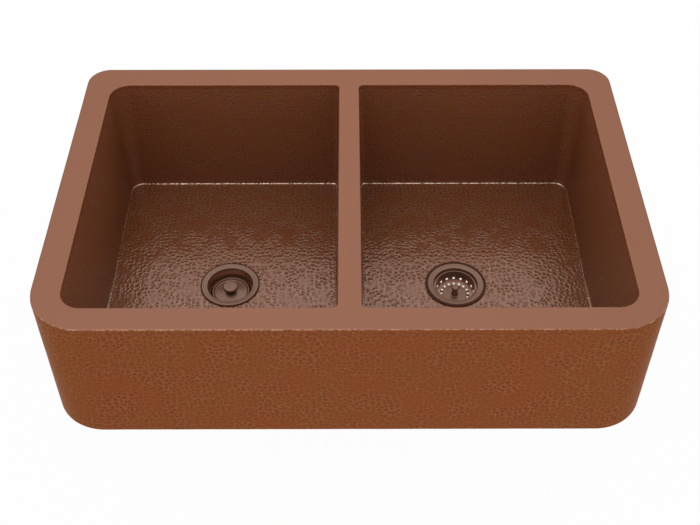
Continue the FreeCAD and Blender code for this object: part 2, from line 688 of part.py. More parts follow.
def make_nut(label, section, width, reach, top, height):
    """A ring nut turned from its section, with lugs to grip it by."""
    body = drain_body(label, "right_drain")
    revolve(body, section)
    root = section[1][0]
    lug = new_sketch(body, "lug", height=f"-({top})")
    draw_polygon(lug, [(f"{root} - 2", f"-{width} / 2"), (reach, f"-{width} / 2"),
                       (reach, f"{width} / 2"), (f"{root} - 2", f"{width} / 2")])
    repeat_round(body, pad_down(body, lug, height), "nut_lugs")
    return body


def make_strainer_nuts():
    """The locknut on the barrel and the coupling nut on the outlet stub."""
    bore = "barrel + nut_play"
    top = "copper + washer + friction"
    foot = f"-({top} + nut_height)"
    locknut = make_nut("strainer_locknut", [
        (bore, f"-({top})"), ("nut_radius", f"-({top})"), ("nut_radius", foot), (bore, foot)],
        "lug_width", "lug_reach", top, "nut_height")
    bore = "stub_radius + nut_play"
    web = "stub_foot + pipe_washer + pipe_lip"
    hole = "pipe + slip_play"
    coupling = make_nut("coupling_nut", [
        (bore, "-slip_top"), ("slip_radius", "-slip_top"), ("slip_radius", f"-({web} + slip_web)"),
        (hole, f"-({web} + slip_web)"), (hole, f"-({web})"), (bore, f"-({web})")],
        "slip_lug", "slip_reach", "slip_top", f"{web} + slip_web - slip_top")
    return [locknut, coupling]


def make_tailpiece():
    """The flanged tube that the coupling nut holds to the outlet."""
    body = drain_body("tailpiece", "right_drain")
    top = "stub_foot + pipe_washer"
    web = f"{top} + pipe_lip"
    foot = f"-({web} + pipe_length)"
    revolve(body, [("pipe_bore", f"-({top})"), ("pipe_flange", f"-({top})"),
                   ("pipe_flange", f"-({web})"), ("pipe + pipe_root", f"-({web})"),
                   ("pipe", f"-({web} + root_height)"), ("pipe", foot), ("pipe_bore", foot)])
    return body


def make_basket_cup():
    """The perforated basket: rolled rim, tapered wall, stepped bottom, two rows of holes."""
    body = drain_body("basket_cup", "right_drain")
    steel = "basket_steel"
    revolve(body, [
        ("basket_mouth", "-basket_top"),
        ("basket_rim", "-basket_top"),
        ("basket_rim", "-basket_bead"),
        (f"basket_mouth + {steel} - 0.3", "-basket_bead"),
        (f"basket_foot + {steel}", "-basket_corner"),
        (f"step_outer + 0.6 * {steel}", f"-(step_level + {steel})"),
        (f"step_inner + 0.2 * {steel}", f"-(step_level + {steel})"),
        (f"base_radius + 0.2 * {steel}", f"-(base_level + {steel})"),
        ("hub_radius", f"-(base_level + {steel})"),
        ("hub_radius", "-hub_foot"),
        ("stem + stem_play", "-hub_foot"),
        ("stem + stem_play", "-base_level"),
        ("base_radius", "-base_level"),
        ("step_inner", "-step_level"),
        ("step_outer", "-step_level"),
        ("basket_foot", "-basket_corner"),
    ])
    side = new_sketch(body, "wall_hole", "YZ_Plane")
    draw_circle(side, "0", "-wall_row", "hole_radius")
    wall_hole = pocket_down(body, "upper_hole", side, "basket_rim")
    repeat_round(body, wall_hole, "hole_count")
    step = new_sketch(body, "step_hole", height="-step_level + 1")
    draw_circle(step, "step_row", "0", "hole_radius")
    step_hole = pocket_down(body, "lower_hole", step, "base_level - step_level + 3")
    repeat_round(body, step_hole, "hole_count")
    return body


def make_basket_post():
    """The sliding post of the basket: knob, stem, rubber plug and spring clip."""
    knob = drain_body("post_knob", "right_drain")
    revolve(knob, [
        ("0", "-pull_top"), ("pull_radius - pull_edge", "-pull_top"),
        ("pull_radius", "-(pull_top + pull_edge)"), ("pull_radius", "-pull_side"),
        ("pull_neck", "-pull_neck_top"), ("pull_neck", "-pull_neck_foot"),
        ("pull_base", "-pull_foot"), ("stem", "-pull_foot"), ("stem", "-stem_top"),
        ("0", "-stem_top")])
    post = drain_body("post_stem", "right_drain")
    revolve(post, [("0", "-stem_top"), ("stem", "-stem_top"), ("stem", "-stem_foot"),
                   ("0", "-stem_foot")])
    plug = drain_body("post_plug", "right_drain")
    revolve(plug, [("stem", "-plug_top"), ("plug_hub", "-plug_top"),
                   ("plug_hub + 1", "-plug_slope"), ("plug_radius", "-plug_slope"),
                   ("plug_radius", "-plug_foot"), ("stem", "-plug_foot")])
    clip = drain_body("post_clip", "right_drain")
    revolve(clip, [("0", "-stem_foot"), ("clip_neck", "-stem_foot"),
                   ("clip_radius", "-clip_wide"), ("clip_tip", "-clip_foot"),
                   ("0", "-clip_foot")])
    slot = new_sketch(clip, "slot", height="-(stem_foot + clip_slot)")
    half = "clip_slot / 2"
    draw_polygon(slot, [("-2 * clip_radius", f"-{half}"), ("2 * clip_radius", f"-{half}"),
                        ("2 * clip_radius", half), ("-2 * clip_radius", half)])
    pocket_down(clip, "slot_cut", slot, "clip_foot")
    return [knob, post, plug, clip]


# ---------------------------------------------------------------- the whole sink

def build():
    """Every piece of the sink, in the order it goes together."""
    fill_sheet()
    pieces = [
        make_rim_deck(),
        make_skirt("front_apron", "sink_depth"),
        make_skirt("rear_skirt", "-sink_depth"),
        make_bowl("left_bowl", -1, "left_drain"),
        make_bowl("right_bowl", 1, "right_drain"),
        make_disposal_flange(),
        make_ring("disposal_gasket", "left_drain", "collar_bore", "gasket_radius",
                  "copper", "gasket"),
        make_ring("backup_flange", "left_drain", "collar_bore", "backup_radius",
                  "copper + gasket", "backup"),
        make_mounting_ring(),
        make_mounting_screws(),
        make_snap_ring(),
        *make_stopper(),
        make_strainer_body(),
        make_outlet_stub(),
        make_ring("strainer_washer", "right_drain", "collar_bore", "washer_radius",
                  "copper", "washer"),
        make_ring("friction_ring", "right_drain", "collar_bore", "washer_radius",
                  "copper + washer", "friction"),
        *make_strainer_nuts(),
        make_ring("tailpiece_washer", "right_drain", "pipe_bore", "pipe_flange",
                  "stub_foot", "pipe_washer"),
        make_tailpiece(),
        make_basket_cup(),
        *make_basket_post(),
    ]
    return pieces


def export(pieces):
    """Write each piece to its own file once all of them are sound."""
    for item in document.Objects:
        if "Invalid" in item.State or "Error" in item.State:
            raise RuntimeError(f"{item.Label} failed: {item.State}")
    os.makedirs(PARTS_FOLDER, exist_ok=True)
    for piece in pieces:
        shape = piece.Shape
        if shape.isNull() or not shape.isValid() or not shape.Solids:
            raise RuntimeError(f"{piece.Label} is not a sound solid")
        shape.exportStep(os.path.join(PARTS_FOLDER, f"{piece.Label}.step"))
        print(f"{piece.Label:20s} solids {len(shape.Solids)}  volume {shape.Volume / 1000:9.2f} cm3")


export(build())
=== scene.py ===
"""Hammered copper farmhouse sink with two bowls, a stopper drain and a basket strainer.

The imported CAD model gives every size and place.  This file dresses it: hammered
sheet for the skirt and the bowls, a smooth rim, turned drains, and the studio.
All lengths are metres; MM turns millimetres into them.
"""

import math

import bmesh
import bpy
import numpy as np
from bpy.props import EnumProperty, FloatProperty, FloatVectorProperty, PointerProperty
from bpy.types import Operator, Panel, PropertyGroup
from mathutils import Euler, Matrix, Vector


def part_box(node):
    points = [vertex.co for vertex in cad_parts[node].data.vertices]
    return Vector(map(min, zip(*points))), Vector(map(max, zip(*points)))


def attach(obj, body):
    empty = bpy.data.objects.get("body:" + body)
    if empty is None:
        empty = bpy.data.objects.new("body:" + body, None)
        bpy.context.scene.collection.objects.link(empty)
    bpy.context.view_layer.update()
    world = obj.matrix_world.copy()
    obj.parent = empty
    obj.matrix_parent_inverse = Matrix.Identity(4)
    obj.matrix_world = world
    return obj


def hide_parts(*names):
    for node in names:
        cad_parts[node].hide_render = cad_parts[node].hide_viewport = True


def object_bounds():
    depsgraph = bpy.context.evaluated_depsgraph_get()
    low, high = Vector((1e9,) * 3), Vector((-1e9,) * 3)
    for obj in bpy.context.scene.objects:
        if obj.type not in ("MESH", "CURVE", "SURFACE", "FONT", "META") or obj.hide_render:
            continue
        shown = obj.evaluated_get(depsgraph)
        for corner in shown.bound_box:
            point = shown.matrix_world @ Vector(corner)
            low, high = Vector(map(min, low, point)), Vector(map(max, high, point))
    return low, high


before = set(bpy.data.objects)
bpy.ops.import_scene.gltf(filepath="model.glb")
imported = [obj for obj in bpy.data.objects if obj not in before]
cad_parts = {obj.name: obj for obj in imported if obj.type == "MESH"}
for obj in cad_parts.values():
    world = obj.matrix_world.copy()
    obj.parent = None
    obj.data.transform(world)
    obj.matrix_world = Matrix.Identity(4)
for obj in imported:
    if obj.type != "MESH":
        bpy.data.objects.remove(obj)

bl_info = {
    "name": "Copper Farmhouse Sink",
    "version": (1, 0, 0),
    "blender": (4, 5, 0),
    "location": "View3D > Sidebar > Sink",
    "description": "Dresses a double-bowl apron front sink in hammered copper",
    "category": "Add Mesh",
}

MM = 0.001
BLACK = (0.0, 0.0, 0.0)
SINK = "sink"
CAD_BOUNDS = [list(corner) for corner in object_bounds()]
MERGE = 1e-7
SHEET_CREASE, TURNED_CREASE = math.radians(60), math.radians(40)

# Reflection colours at a shallow angle: of the satin sheet, and of the bowls' clear finish.
EDGE_TINT = (0.78, 0.58, 0.48, 1.0)
FINISH_TINT = (1.0, 0.92, 0.84, 1.0)
FINISH_IOR = 1.9
# Painted glow: faint emission that lifts the shade deep in the drains' throats, and a painted
# highlight glowing along the bends of the bowls.
THROAT_GLOW = (0.022, 0.008, 0.004)
BEND_GLOW = (0.50, 0.37, 0.27)

# The two rows of holes in the basket, in millimetres: level over the drain's seat, distance
# from its middle, and how far below the row the light through it still shows.
BASKET_HOLES = 16
UPPER_ROW = (-16.0, 29.4, 12.0)
LOWER_ROW = (-20.9, 21.2, 30.0)
# How far that light runs in X and Y for each millimetre that it falls.
LIGHT_SLANT = (-0.136, -0.934)

# The camera of the photograph, found by fitting a pinhole to its edges: pixels, radians, metres.
PHOTO_WIDTH, FOCAL = 700, 1078.24
PITCH, YAW = math.radians(45.79), math.radians(0.1545)
EYE = (-2.245 * MM, -1169.77 * MM, 1037.57 * MM)
# Lamps: name, place, aim, size in metres and power in watts.
LAMPS = (("key", (-0.5, -0.4, 2.1), (0, 0, 0), 0.7, 3.5),
         ("back", (0, 2.4, 2.0), (0, 0, -0.2), 1.6, 2.0))


def corners_of(node):
    """The lowest and the highest corner of a CAD node's box."""
    return [np.array(corner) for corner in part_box(node)]


def drain_seat(node, rise):
    """Middle of a drain and the height of its seat: the node's flange stands rise above it."""
    low, high = corners_of(node)
    middle = (low + high) / 2
    return np.array([middle[0], middle[1], high[2] - rise])


RIM_LOW, RIM_HIGH = corners_of("rim_deck")
SKIRT_FOOT, SEAM = corners_of("front_apron")[0][2], corners_of("front_apron")[1][1]
DRAINS = {"disposer": drain_seat("disposal_flange", 1.5 * MM),
          "strainer": drain_seat("strainer_body", 1.8 * MM)}


# ---- settings

def length(name, description, value):
    """A size, with its default in millimetres."""
    return FloatProperty(name=name, description=description, default=value * MM,
                         unit="LENGTH", subtype="DISTANCE")


def colour(name, description, value):
    """A linear colour."""
    return FloatVectorProperty(name=name, description=description, default=value,
                               subtype="COLOR", size=3, min=0.0, max=1.0)


class SinkSizes(PropertyGroup):
    """Sizes of the sheet copper and of its hammer marks."""
    sheet: length("Sheet", "Thickness of the copper sheet", 1.6)
    rim_edge: length("Rim edge", "Radius of the rim's turned outer edge", 3.2)
    mouth_edge: length("Mouth edge", "Radius of the turned edges of the bowl mouths", 1.9)
    corner_front: length("Front corners", "Plan radius of the apron corners", 74)
    corner_back: length("Rear corners", "Plan radius of the rear corners", 34)
    hem: length("Hem", "Width of the hem under the skirt", 14)
    hem_bend: length("Hem bend", "Outer radius of the hem's bend", 3.2)
    bowl_front: length("Bowl front corners", "Plan radius at the front", 30)
    bowl_back: length("Bowl back corners", "Plan radius at the back", 30)
    bowl_inner: length("Bowl inner corners", "Plan radius beside the divider", 7)
    bowl_draft: length("Bowl draft", "Lean of the bowl walls down to the floor", 4.8)
    floor_front: length("Floor front corners", "Plan radius at the floor", 18)
    floor_back: length("Floor back corners", "Plan radius at the floor", 20)
    floor_bend: length("Floor bend", "Radius between wall and floor", 2.4)
    floor_fall: length("Floor fall", "Drop of the floor towards the drain", 2)
    fall_radius: length("Fall radius", "Radius where the fall begins", 135)
    seat_radius: length("Seat radius", "Flat seat round the drain", 53)
    drain_hole: length("Drain hole", "Radius of the hole in a bowl", 40)
    dimple: length("Hammer marks", "Spacing of the small hammer marks", 7.3)
    depth: length("Mark depth", "Depth of a full hammer mark", 0.36)
    planish: length("Planishing", "Spacing of the broad blows under the marks", 13)
    dent: length("Dent", "Depth of a broad blow", 0.10)
    wave: length("Wave", "Height of the slow waves in the sheet", 0.20)
    grid: length("Grid", "Spacing of the hammered mesh", 1.95)


class SinkColours(PropertyGroup):
    """Colours of the finishes, linear."""
    rim: colour("Rim", "Smooth copper of the rim", (0.319, 0.145, 0.092))
    warm: colour("Warm patina", "Redder patches of the sheet", (0.253, 0.066, 0.020))
    brown: colour("Brown patina", "Browner patches of the sheet", (0.237, 0.0735, 0.021))
    deep: colour("Deep patina", "Under the clear finish of the bowls", (0.228, 0.058, 0.008))
    pit: colour("Pits", "Dark patina left in the hammer marks", (0.12, 0.034, 0.012))
    ridge: colour("Ridges", "Copper worn lighter between the marks", (0.40, 0.185, 0.105))
    # Painted highlight along the bend between wall and floor; the bowls' ridges also lean a little
    # towards this colour.
    bend_highlight: colour("Bend highlight", "Bright where wall and floor meet", (0.80, 0.60, 0.45))
    plate: colour("Drain plate", "Satin antique copper of the drains", (0.272, 0.154, 0.109))
    # Painted glow: this white is emitted by the basket's hole bores and by the spots inside the
    # strainer's cup.
    light: colour("Light", "White that shows through the basket's holes", (0.80, 0.72, 0.67))
    # Copper without plate inside the drains; also the colour of the painted highlight on the rim's
    # front edge and of the painted light on the basket's step.
    bare_and_highlight: colour("Bare copper", "Copper without plate inside the drains", (0.62, 0.36, 0.26))
    # Painted shade: the dark ring round the drain flanges; this colour also darkens the rim's outer
    # edge at the sides and back.
    edge: colour("Drain edge", "Dark outer edge of the drain flanges", (0.085, 0.027, 0.011))
    brass: colour("Brass", "Raw brass of nuts and pipe", (0.56, 0.38, 0.15))
    steel: colour("Steel", "Zinc plated steel", (0.55, 0.56, 0.55))
    rubber: colour("Rubber", "Black rubber, stained brown", (0.030, 0.016, 0.010))
    fibre: colour("Fibre", "Pressed fibre", (0.17, 0.085, 0.045))


def sizes():
    """The sizes that the panel shows."""
    return bpy.context.scene.sink_sizes


def colours():
    """The colours that the panel shows."""
    return bpy.context.scene.sink_colours


# ---- meshes

def add_object(name, data):
    """Link a new object that carries the given data."""
    item = bpy.data.objects.new(name, data)
    bpy.context.scene.collection.objects.link(item)
    return item


def cells(rows, columns, wrap_rows, wrap_columns):
    """(row, column) of the four corners of every cell of a grid, counted on past a wrap."""
    row = np.arange(rows if wrap_rows else rows - 1)
    column = np.arange(columns if wrap_columns else columns - 1)
    first = np.stack(np.meshgrid(row, column, indexing="ij"), -1).reshape(-1, 1, 2)
    return first + np.array([(0, 0), (0, 1), (1, 1), (1, 0)])


def quads(rows, columns, wrap_rows=False, wrap_columns=False):
    """Corner indices of every cell of a grid stored row by row."""
    corners = cells(rows, columns, wrap_rows, wrap_columns)
    return corners[..., 0] % rows * columns + corners[..., 1] % columns


def way(points):
    """How far along a closed run of points each one lies, with the way back to the first."""
    steps = np.linalg.norm(np.roll(points, -1, 0) - points, axis=1)
    return np.concatenate([[0], np.cumsum(steps)])


def unroll(profile, points, wrap_rows=True, wrap_columns=True):
    """Where the corners of a carried section lie on the sheet laid flat: (along, down)."""
    corners = cells(len(profile), len(points), wrap_rows, wrap_columns)
    return np.stack([way(points)[corners[..., 1]], way(profile)[corners[..., 0]]], -1)


def make_piece(name, body, node, finish, points, blocks, sheets=(), capped=False, crease=None):
    """Build a piece that rides on its body and stands for its CAD node.

    points and blocks of faces make its mesh; seams and poles are merged, and the faces
    look outwards.  sheets are the places of the faces' corners on the flat sheet, kept as
    a UV map; capped closes the open ends of a tube, and crease is the angle above which
    edges stay sharp.
    """
    mesh = bpy.data.meshes.new(name)
    piece = add_object(name, mesh)
    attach(piece, body)
    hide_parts(node)
    mesh.materials.append(material_named(finish))
    mesh.from_pydata(np.asarray(points).tolist(), [], sum((block.tolist() for block in blocks), []))
    if sheets:
        plan = np.concatenate([sheet.reshape(-1, 2) for sheet in sheets])
        mesh.uv_layers.new(name="sheet").data.foreach_set("uv", plan.ravel().astype(np.float32))
    shell = bmesh.new()
    shell.from_mesh(mesh)
    bmesh.ops.remove_doubles(shell, verts=shell.verts, dist=MERGE)
    bmesh.ops.dissolve_degenerate(shell, edges=shell.edges, dist=MERGE)
    if capped:
        bmesh.ops.holes_fill(shell, edges=shell.edges, sides=0)
    bmesh.ops.recalc_face_normals(shell, faces=shell.faces)
    shell.to_mesh(mesh)
    shell.free()
    mesh.shade_smooth()
    if crease:
        mesh.set_sharp_from_angle(angle=crease)
    mesh.validate()


# ---- hammering

def scramble(cells, salt):
    """A repeatable random number in 0..1 for each integer cell (x, y, z)."""
    mixed = np.full(cells.shape[:-1], (salt * 0x9E3779B9) & 0xFFFFFFFF, np.uint64)
    for axis, factor in enumerate((0x85EBCA6B, 0xC2B2AE35, 0x27D4EB2F)):
        mixed = (mixed ^ (cells[..., axis].astype(np.int64) & 0xFFFFFFFF).astype(np.uint64))
        mixed = (mixed * np.uint64(factor)) & np.uint64(0xFFFFFFFF)
        mixed = mixed ^ (mixed >> np.uint64(15))
    return (mixed & np.uint64(0xFFFFFF)).astype(float) / 0xFFFFFF


def nearest_blow(points, spacing):
    """Distance to the nearest of one random blow per cube of side spacing, over spacing."""
    scaled = points / spacing
    home = np.floor(scaled).astype(np.int64)
    nearest = np.full(len(points), 9.0)
    for step in np.ndindex(3, 3, 3):
        cell = home + np.array(step) - 1
        blow = cell + np.stack([scramble(cell, salt) for salt in (1, 2, 3)], -1)
        nearest = np.minimum(nearest, np.linalg.norm(scaled - blow, axis=1))
    return nearest


def drift(points, spacing, salt):
    """Smooth noise in 0..1: random values at cube corners, eased between them."""
    scaled = points / spacing
    home = np.floor(scaled).astype(np.int64)
    part = scaled - home
    part = part * part * (3 - 2 * part)
    total = np.zeros(len(points))
    for step in np.ndindex(2, 2, 2):
        share = np.prod(np.where(np.array(step), part, 1 - part), axis=1)
        total += share * scramble(home + np.array(step), salt)
    return total


def hammer(points, normals):
    """Planish a surface: p - n * (dent * strength * (1 - (d / reach)^2) + wave).

    d is the distance to the nearest blow, so the blows are shallow bowls that meet
    in ridges; strength and wave drift over the sheet.  The small marks between
    them are in the finish.
    """
    size, reach, weakest = sizes(), 0.86, 0.35
    ridge = np.minimum(nearest_blow(points, size.planish) / reach, 1.0) ** 2
    strength = weakest + (1 - weakest) * drift(points, 34 * MM, 7)
    wave = size.wave * drift(points, 26 * MM, 11)
    sink = size.dent * strength * (1 - ridge) + wave
    return points - normals * sink[:, None]


# ---- outlines

def corner_centres(low, high, radii):
    """Centres of the corners of a rounded rectangle, front left first, anticlockwise from above."""
    signs = np.array([(1, 1), (-1, 1), (-1, -1), (1, -1)])
    corners = np.array([(low[0], low[1]), (high[0], low[1]), (high[0], high[1]), (low[0], high[1])])
    return corners + signs * np.array(radii)[:, None]


def side_steps(low, high, radii, counts):
    """Where the points of a rounded rectangle's four sides lie, from mid-corner to mid-corner.

    For equal steps of arc along each side: the angle of the outward normal, and the
    share of the straight run that is done.
    """
    centres = corner_centres(low, high, radii)
    quarter = math.pi / 4
    steps = []
    for i in range(4):
        heading = i * math.pi / 2
        straight = abs((centres[(i + 1) % 4] - centres[i])[i % 2])
        first, last = radii[i] * quarter, radii[(i + 1) % 4] * quarter
        arc = np.linspace(0, first + straight + last, counts[i % 2] + 1)
        turn = (heading - math.pi / 2 - quarter + np.minimum(arc, first) / radii[i]
                + np.maximum(arc - first - straight, 0) / radii[(i + 1) % 4])
        steps.append((turn, np.clip((arc - first) / straight, 0, 1)))
    return steps


def trace_sides(low, high, radii, steps):
    """Points and outward normals of the four sides: centre(share) + radius(share) * normal."""
    centres = corner_centres(low, high, radii)
    sides = []
    for i, (turn, share) in enumerate(steps):
        after = (i + 1) % 4
        normal = np.stack([np.cos(turn), np.sin(turn)], 1)
        centre = centres[i] + share[:, None] * (centres[after] - centres[i])
        radius = radii[i] + share * (radii[after] - radii[i])
        sides.append((centre + radius[:, None] * normal, normal))
    return sides


def join_sides(sides):
    """One closed ring of points and normals from four sides that share their ends."""
    points = np.concatenate([side[0][:-1] for side in sides])
    normals = np.concatenate([side[1][:-1] for side in sides])
    return points, normals


def with_heights(plan, heights):
    """A grid of points from its plan and the height of each row."""
    column = np.broadcast_to(heights[:, None, None], plan.shape[:2] + (1,))
    return np.concatenate([plan, column], -1)


def carry(profile, points, normals, lean=None):
    """Carry a profile of (inset, height) along an outline: (rows, columns, 3) points.

    lean gives how far each row goes over to a second outline and the way there.
    """
    plan = points[None] - profile[:, 0, None, None] * normals[None]
    if lean:
        plan = plan + lean[0][:, None, None] * lean[1][None]
    return with_heights(plan, profile[:, 1])


def bend(centre_inset, centre_height, radius, start, end, steps=5):
    """Points of a bend seen in section, from angle start to end in degrees."""
    angle = np.radians(np.linspace(start, end, steps + 1))
    return np.stack([centre_inset - radius * np.cos(angle),
                     centre_height + radius * np.sin(angle)], 1)


def run(a, b, spacing):
    """Points from a to b in section, at about the given spacing, without the last one."""
    a, b = np.array(a), np.array(b)
    count = max(1, round(float(np.linalg.norm(b - a)) / spacing))
    return a + (b - a) * np.linspace(0, 1, count, endpoint=False)[:, None]


# ---- sheet pieces

def hammered(profile, points, normals, facing, worked, lean=None):
    """Carry a section along an outline and hammer its first rows.

    facing is 1 where the worked face looks into the outline and -1 where it looks
    out.  worked gives, for each row, how much of the hammering it takes, from 0 to 1.
    """
    grid = carry(profile, points, normals, lean)
    along = np.gradient(profile, axis=0)
    along /= np.linalg.norm(along, axis=1, keepdims=True)
    sideways = facing * along[:, 1, None, None] * normals[None]
    outward = with_heights(sideways, facing * along[:, 0]).reshape(-1, 3)
    flat = grid.reshape(-1, 3)
    share = np.repeat(worked, len(points))
    return flat + (hammer(flat, outward) - flat) * share[:, None]


def bowl_outlines(side):
    """The sides of a bowl's inside at its mouth and at its floor: side is -1 for the left bowl."""
    size = sizes()
    low, high = corners_of("left_bowl" if side < 0 else "right_bowl")
    low, high = low[:2] + size.sheet, high[:2] - size.sheet
    inner = size.bowl_inner
    found, steps = [], None
    for front, back, draft in ((size.bowl_front, size.bowl_back, 0.0),
                               (size.floor_front, size.floor_back, size.bowl_draft)):
        radii = (front, inner, inner, back) if side < 0 else (inner, front, back, inner)
        if steps is None:
            counts = [round(span / size.grid) for span in high - low]
            steps = side_steps(low, high, radii, counts)
        found.append(trace_sides(low + draft, high - draft, radii, steps))
    return found


def bowl_wall(side):
    """A bowl's wall with the bend into the floor, as a closed shell of sheet thickness."""
    size = sizes()
    mouth, foot = bowl_outlines(side)
    points, normals = join_sides(mouth)
    top, floor = RIM_LOW[2], bowl_floor()
    radius, sheet = size.floor_bend, size.sheet
    centre = floor + radius
    inside = np.concatenate([run((0, top), (0, centre), size.grid),
                             bend(radius, centre, radius, 0, -90)])
    outside = np.concatenate([bend(radius, centre, radius + sheet, -90, 0),
                              run((-sheet, centre), (-sheet, top), 40 * MM)[1:],
                              [(-sheet, top)]])
    profile = np.concatenate([inside, outside])
    worked = np.repeat([1.0, 0.0], [len(inside), len(outside)])
    share = np.clip((top - profile[:, 1]) / (top - floor), 0, 1)
    lean = (share, join_sides(foot)[0] - points)
    surface = hammered(profile, points, normals, 1, worked, lean)
    return surface, quads(len(profile), len(points), True, True), unroll(profile, points)


def bowl_floor():
    """Height of a bowl's floor beside the walls: its seat lies lower by the fall."""
    size = sizes()
    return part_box("left_bowl")[0].z + size.sheet + size.floor_fall


def coons(sides):
    """Fill four sides with a grid: (1-v) front + v back + (1-u) left + u right - corners.

    The corners are blended by both u and v.
    """
    front, right, back, left = sides
    back, left = back[::-1], left[::-1]
    u = np.linspace(0, 1, len(front))[None, :, None]
    v = np.linspace(0, 1, len(right))[:, None, None]
    ruled = (1 - v) * front[None] + v * back[None] + (1 - u) * left[:, None] + u * right[:, None]
    corners = ((1 - u) * (1 - v) * front[0] + u * (1 - v) * front[-1]
               + (1 - u) * v * back[0] + u * v * back[-1])
    return ruled - corners


def border_walls(faces, offset):
    """Quads that join the border of a sheet to its second layer, stored offset points later."""
    edges = np.concatenate([faces[:, [i, (i + 1) % 4]] for i in range(4)])
    _, first, count = np.unique(np.sort(edges, 1), axis=0, return_index=True, return_counts=True)
    border = edges[first[count == 1]]
    return np.stack([border[:, 0], border[:, 1], border[:, 1] + offset, border[:, 0] + offset], 1)


def bowl_bottom(side, drain):
    """A bowl's floor inside the bend: a grid between its sides that falls to the drain's seat.

    height = side - fall * (fall radius - d) / (fall radius - seat radius), held between
    both, with d the way to the middle of the drain.
    """
    size = sizes()
    sides = [edge - size.floor_bend * normal for edge, normal in bowl_outlines(side)[1]]
    plan = coons(sides)
    rows, columns = plan.shape[:2]
    flat = plan.reshape(-1, 2)
    away = flat - drain[:2]
    distance = np.linalg.norm(away, axis=1)
    hole = size.drain_hole + 1.5 * MM
    faces = quads(rows, columns)
    faces = faces[(distance[faces] > hole).any(1)]
    flat = drain[:2] + away * np.maximum(1, hole / np.maximum(distance, 1e-9))[:, None]
    distance = np.maximum(distance, hole)
    share = np.clip((size.fall_radius - distance) / (size.fall_radius - size.seat_radius), 0, 1)
    height = bowl_floor() - size.floor_fall * share
    top = np.concatenate([flat, height[:, None]], 1)
    struck = hammer(top, np.broadcast_to((0.0, 0.0, 1.0), top.shape))
    under = top - (0, 0, size.sheet)
    used, compact = np.unique(faces, return_inverse=True)
    faces = compact.reshape(faces.shape)
    count = len(used)
    shell = np.concatenate([faces, faces + count, border_walls(faces, count)])
    points = np.concatenate([struck[used], under[used]])
    return points, shell, points[shell][..., :2]


def outer_outline():
    """The sink's own outline: points and outward normals, anticlockwise from the front left."""
    size = sizes()
    low, high = RIM_LOW[:2], RIM_HIGH[:2]
    radii = [size.corner_front] * 2 + [size.corner_back] * 2
    counts = [round(span / size.grid) for span in high - low]
    return join_sides(trace_sides(low, high, radii, side_steps(low, high, radii, counts)))


def part_at_seam(points, normals, front):
    """The open run of a closed outline in front of or behind the seams, ends set on the seam."""
    wanted = points[:, 1] < SEAM if front else points[:, 1] > SEAM
    start = int(np.argmax(wanted & ~np.roll(wanted, 1)))
    order = (start + np.arange(wanted.sum())) % len(points)
    run_points, run_normals = points[order], normals[order]
    ends = [np.array([run_points[i, 0], SEAM]) for i in (0, -1)]
    run_points = np.concatenate([[ends[0]], run_points, [ends[1]]])
    run_normals = np.concatenate([run_normals[:1], run_normals, run_normals[-1:]])
    return run_points, run_normals


def skirt(front):
    """Half of the outer skirt: hammered face, bend, inward hem, plain inside, closed ends."""
    size = sizes()
    points, normals = part_at_seam(*outer_outline(), front)
    top, foot = RIM_LOW[2], SKIRT_FOOT
    radius, sheet = size.hem_bend, size.sheet
    centre = foot + radius
    outside = np.concatenate([run((0, top), (0, centre), size.grid),
                              bend(radius, centre, radius, 0, -90)])
    inside = np.concatenate([run((radius, foot), (size.hem, foot), 3 * MM)[1:], [(size.hem, foot)],
                             run((size.hem, foot + sheet), (radius, foot + sheet), 4 * MM),
                             bend(radius, centre, radius - sheet, -90, 0, 4),
                             run((sheet, centre), (sheet, top), 50 * MM)[1:], [(sheet, top)]])
    profile = np.concatenate([outside, inside])
    worked = np.repeat([1.0, 0.0], [len(outside), len(inside)])
    surface = hammered(profile, points, normals, -1, worked)
    return (surface, quads(len(profile), len(points), True, False),
            unroll(profile, points, True, False))


def lip_section(edge, turn):
    """Section of a turned edge of the rim, from the flat top round the lip to the flat underside.

    edge is its outer radius; turn is 1 at the sink's outer edge and -1 at a bowl.
    """
    sheet, drop = sizes().sheet, RIM_LOW[2]
    section = np.concatenate([
        [(edge + 1.2 * MM, 0)],
        bend(edge, -edge, edge, 90, 0, 8),
        run((0, -edge), (0, drop), 1.1 * MM)[1:], [(0, drop)],
        run((sheet, drop), (sheet, -edge), 2.2 * MM),
        bend(edge, -edge, edge - sheet, 0, 90, 4),
        [(edge + 1.2 * MM, -sheet)]])
    return section * (turn, 1)


def flat_between(rings, height):
    """Triangles of a flat plate between closed rings: the first outside, the rest holes."""
    starts = np.cumsum([0] + [len(ring) for ring in rings[:-1]])
    counts = [np.arange(len(ring)) for ring in rings]
    edges = np.concatenate([start + np.stack([count, np.roll(count, -1)], 1)
                            for start, count in zip(starts, counts)])
    points = np.concatenate(rings)
    points = np.concatenate([points, np.full((len(points), 1), height)], 1)
    mesh = bpy.data.meshes.new("plate")
    mesh.from_pydata(points.tolist(), edges.tolist(), [])
    plate = bmesh.new()
    plate.from_mesh(mesh)
    bmesh.ops.triangle_fill(plate, use_beauty=True, edges=plate.edges)
    plate.to_mesh(mesh)
    plate.free()
    corners = np.empty(len(mesh.loops), np.int32)
    mesh.loops.foreach_get("vertex_index", corners)
    bpy.data.meshes.remove(mesh)
    return points, corners.reshape(-1, 3)


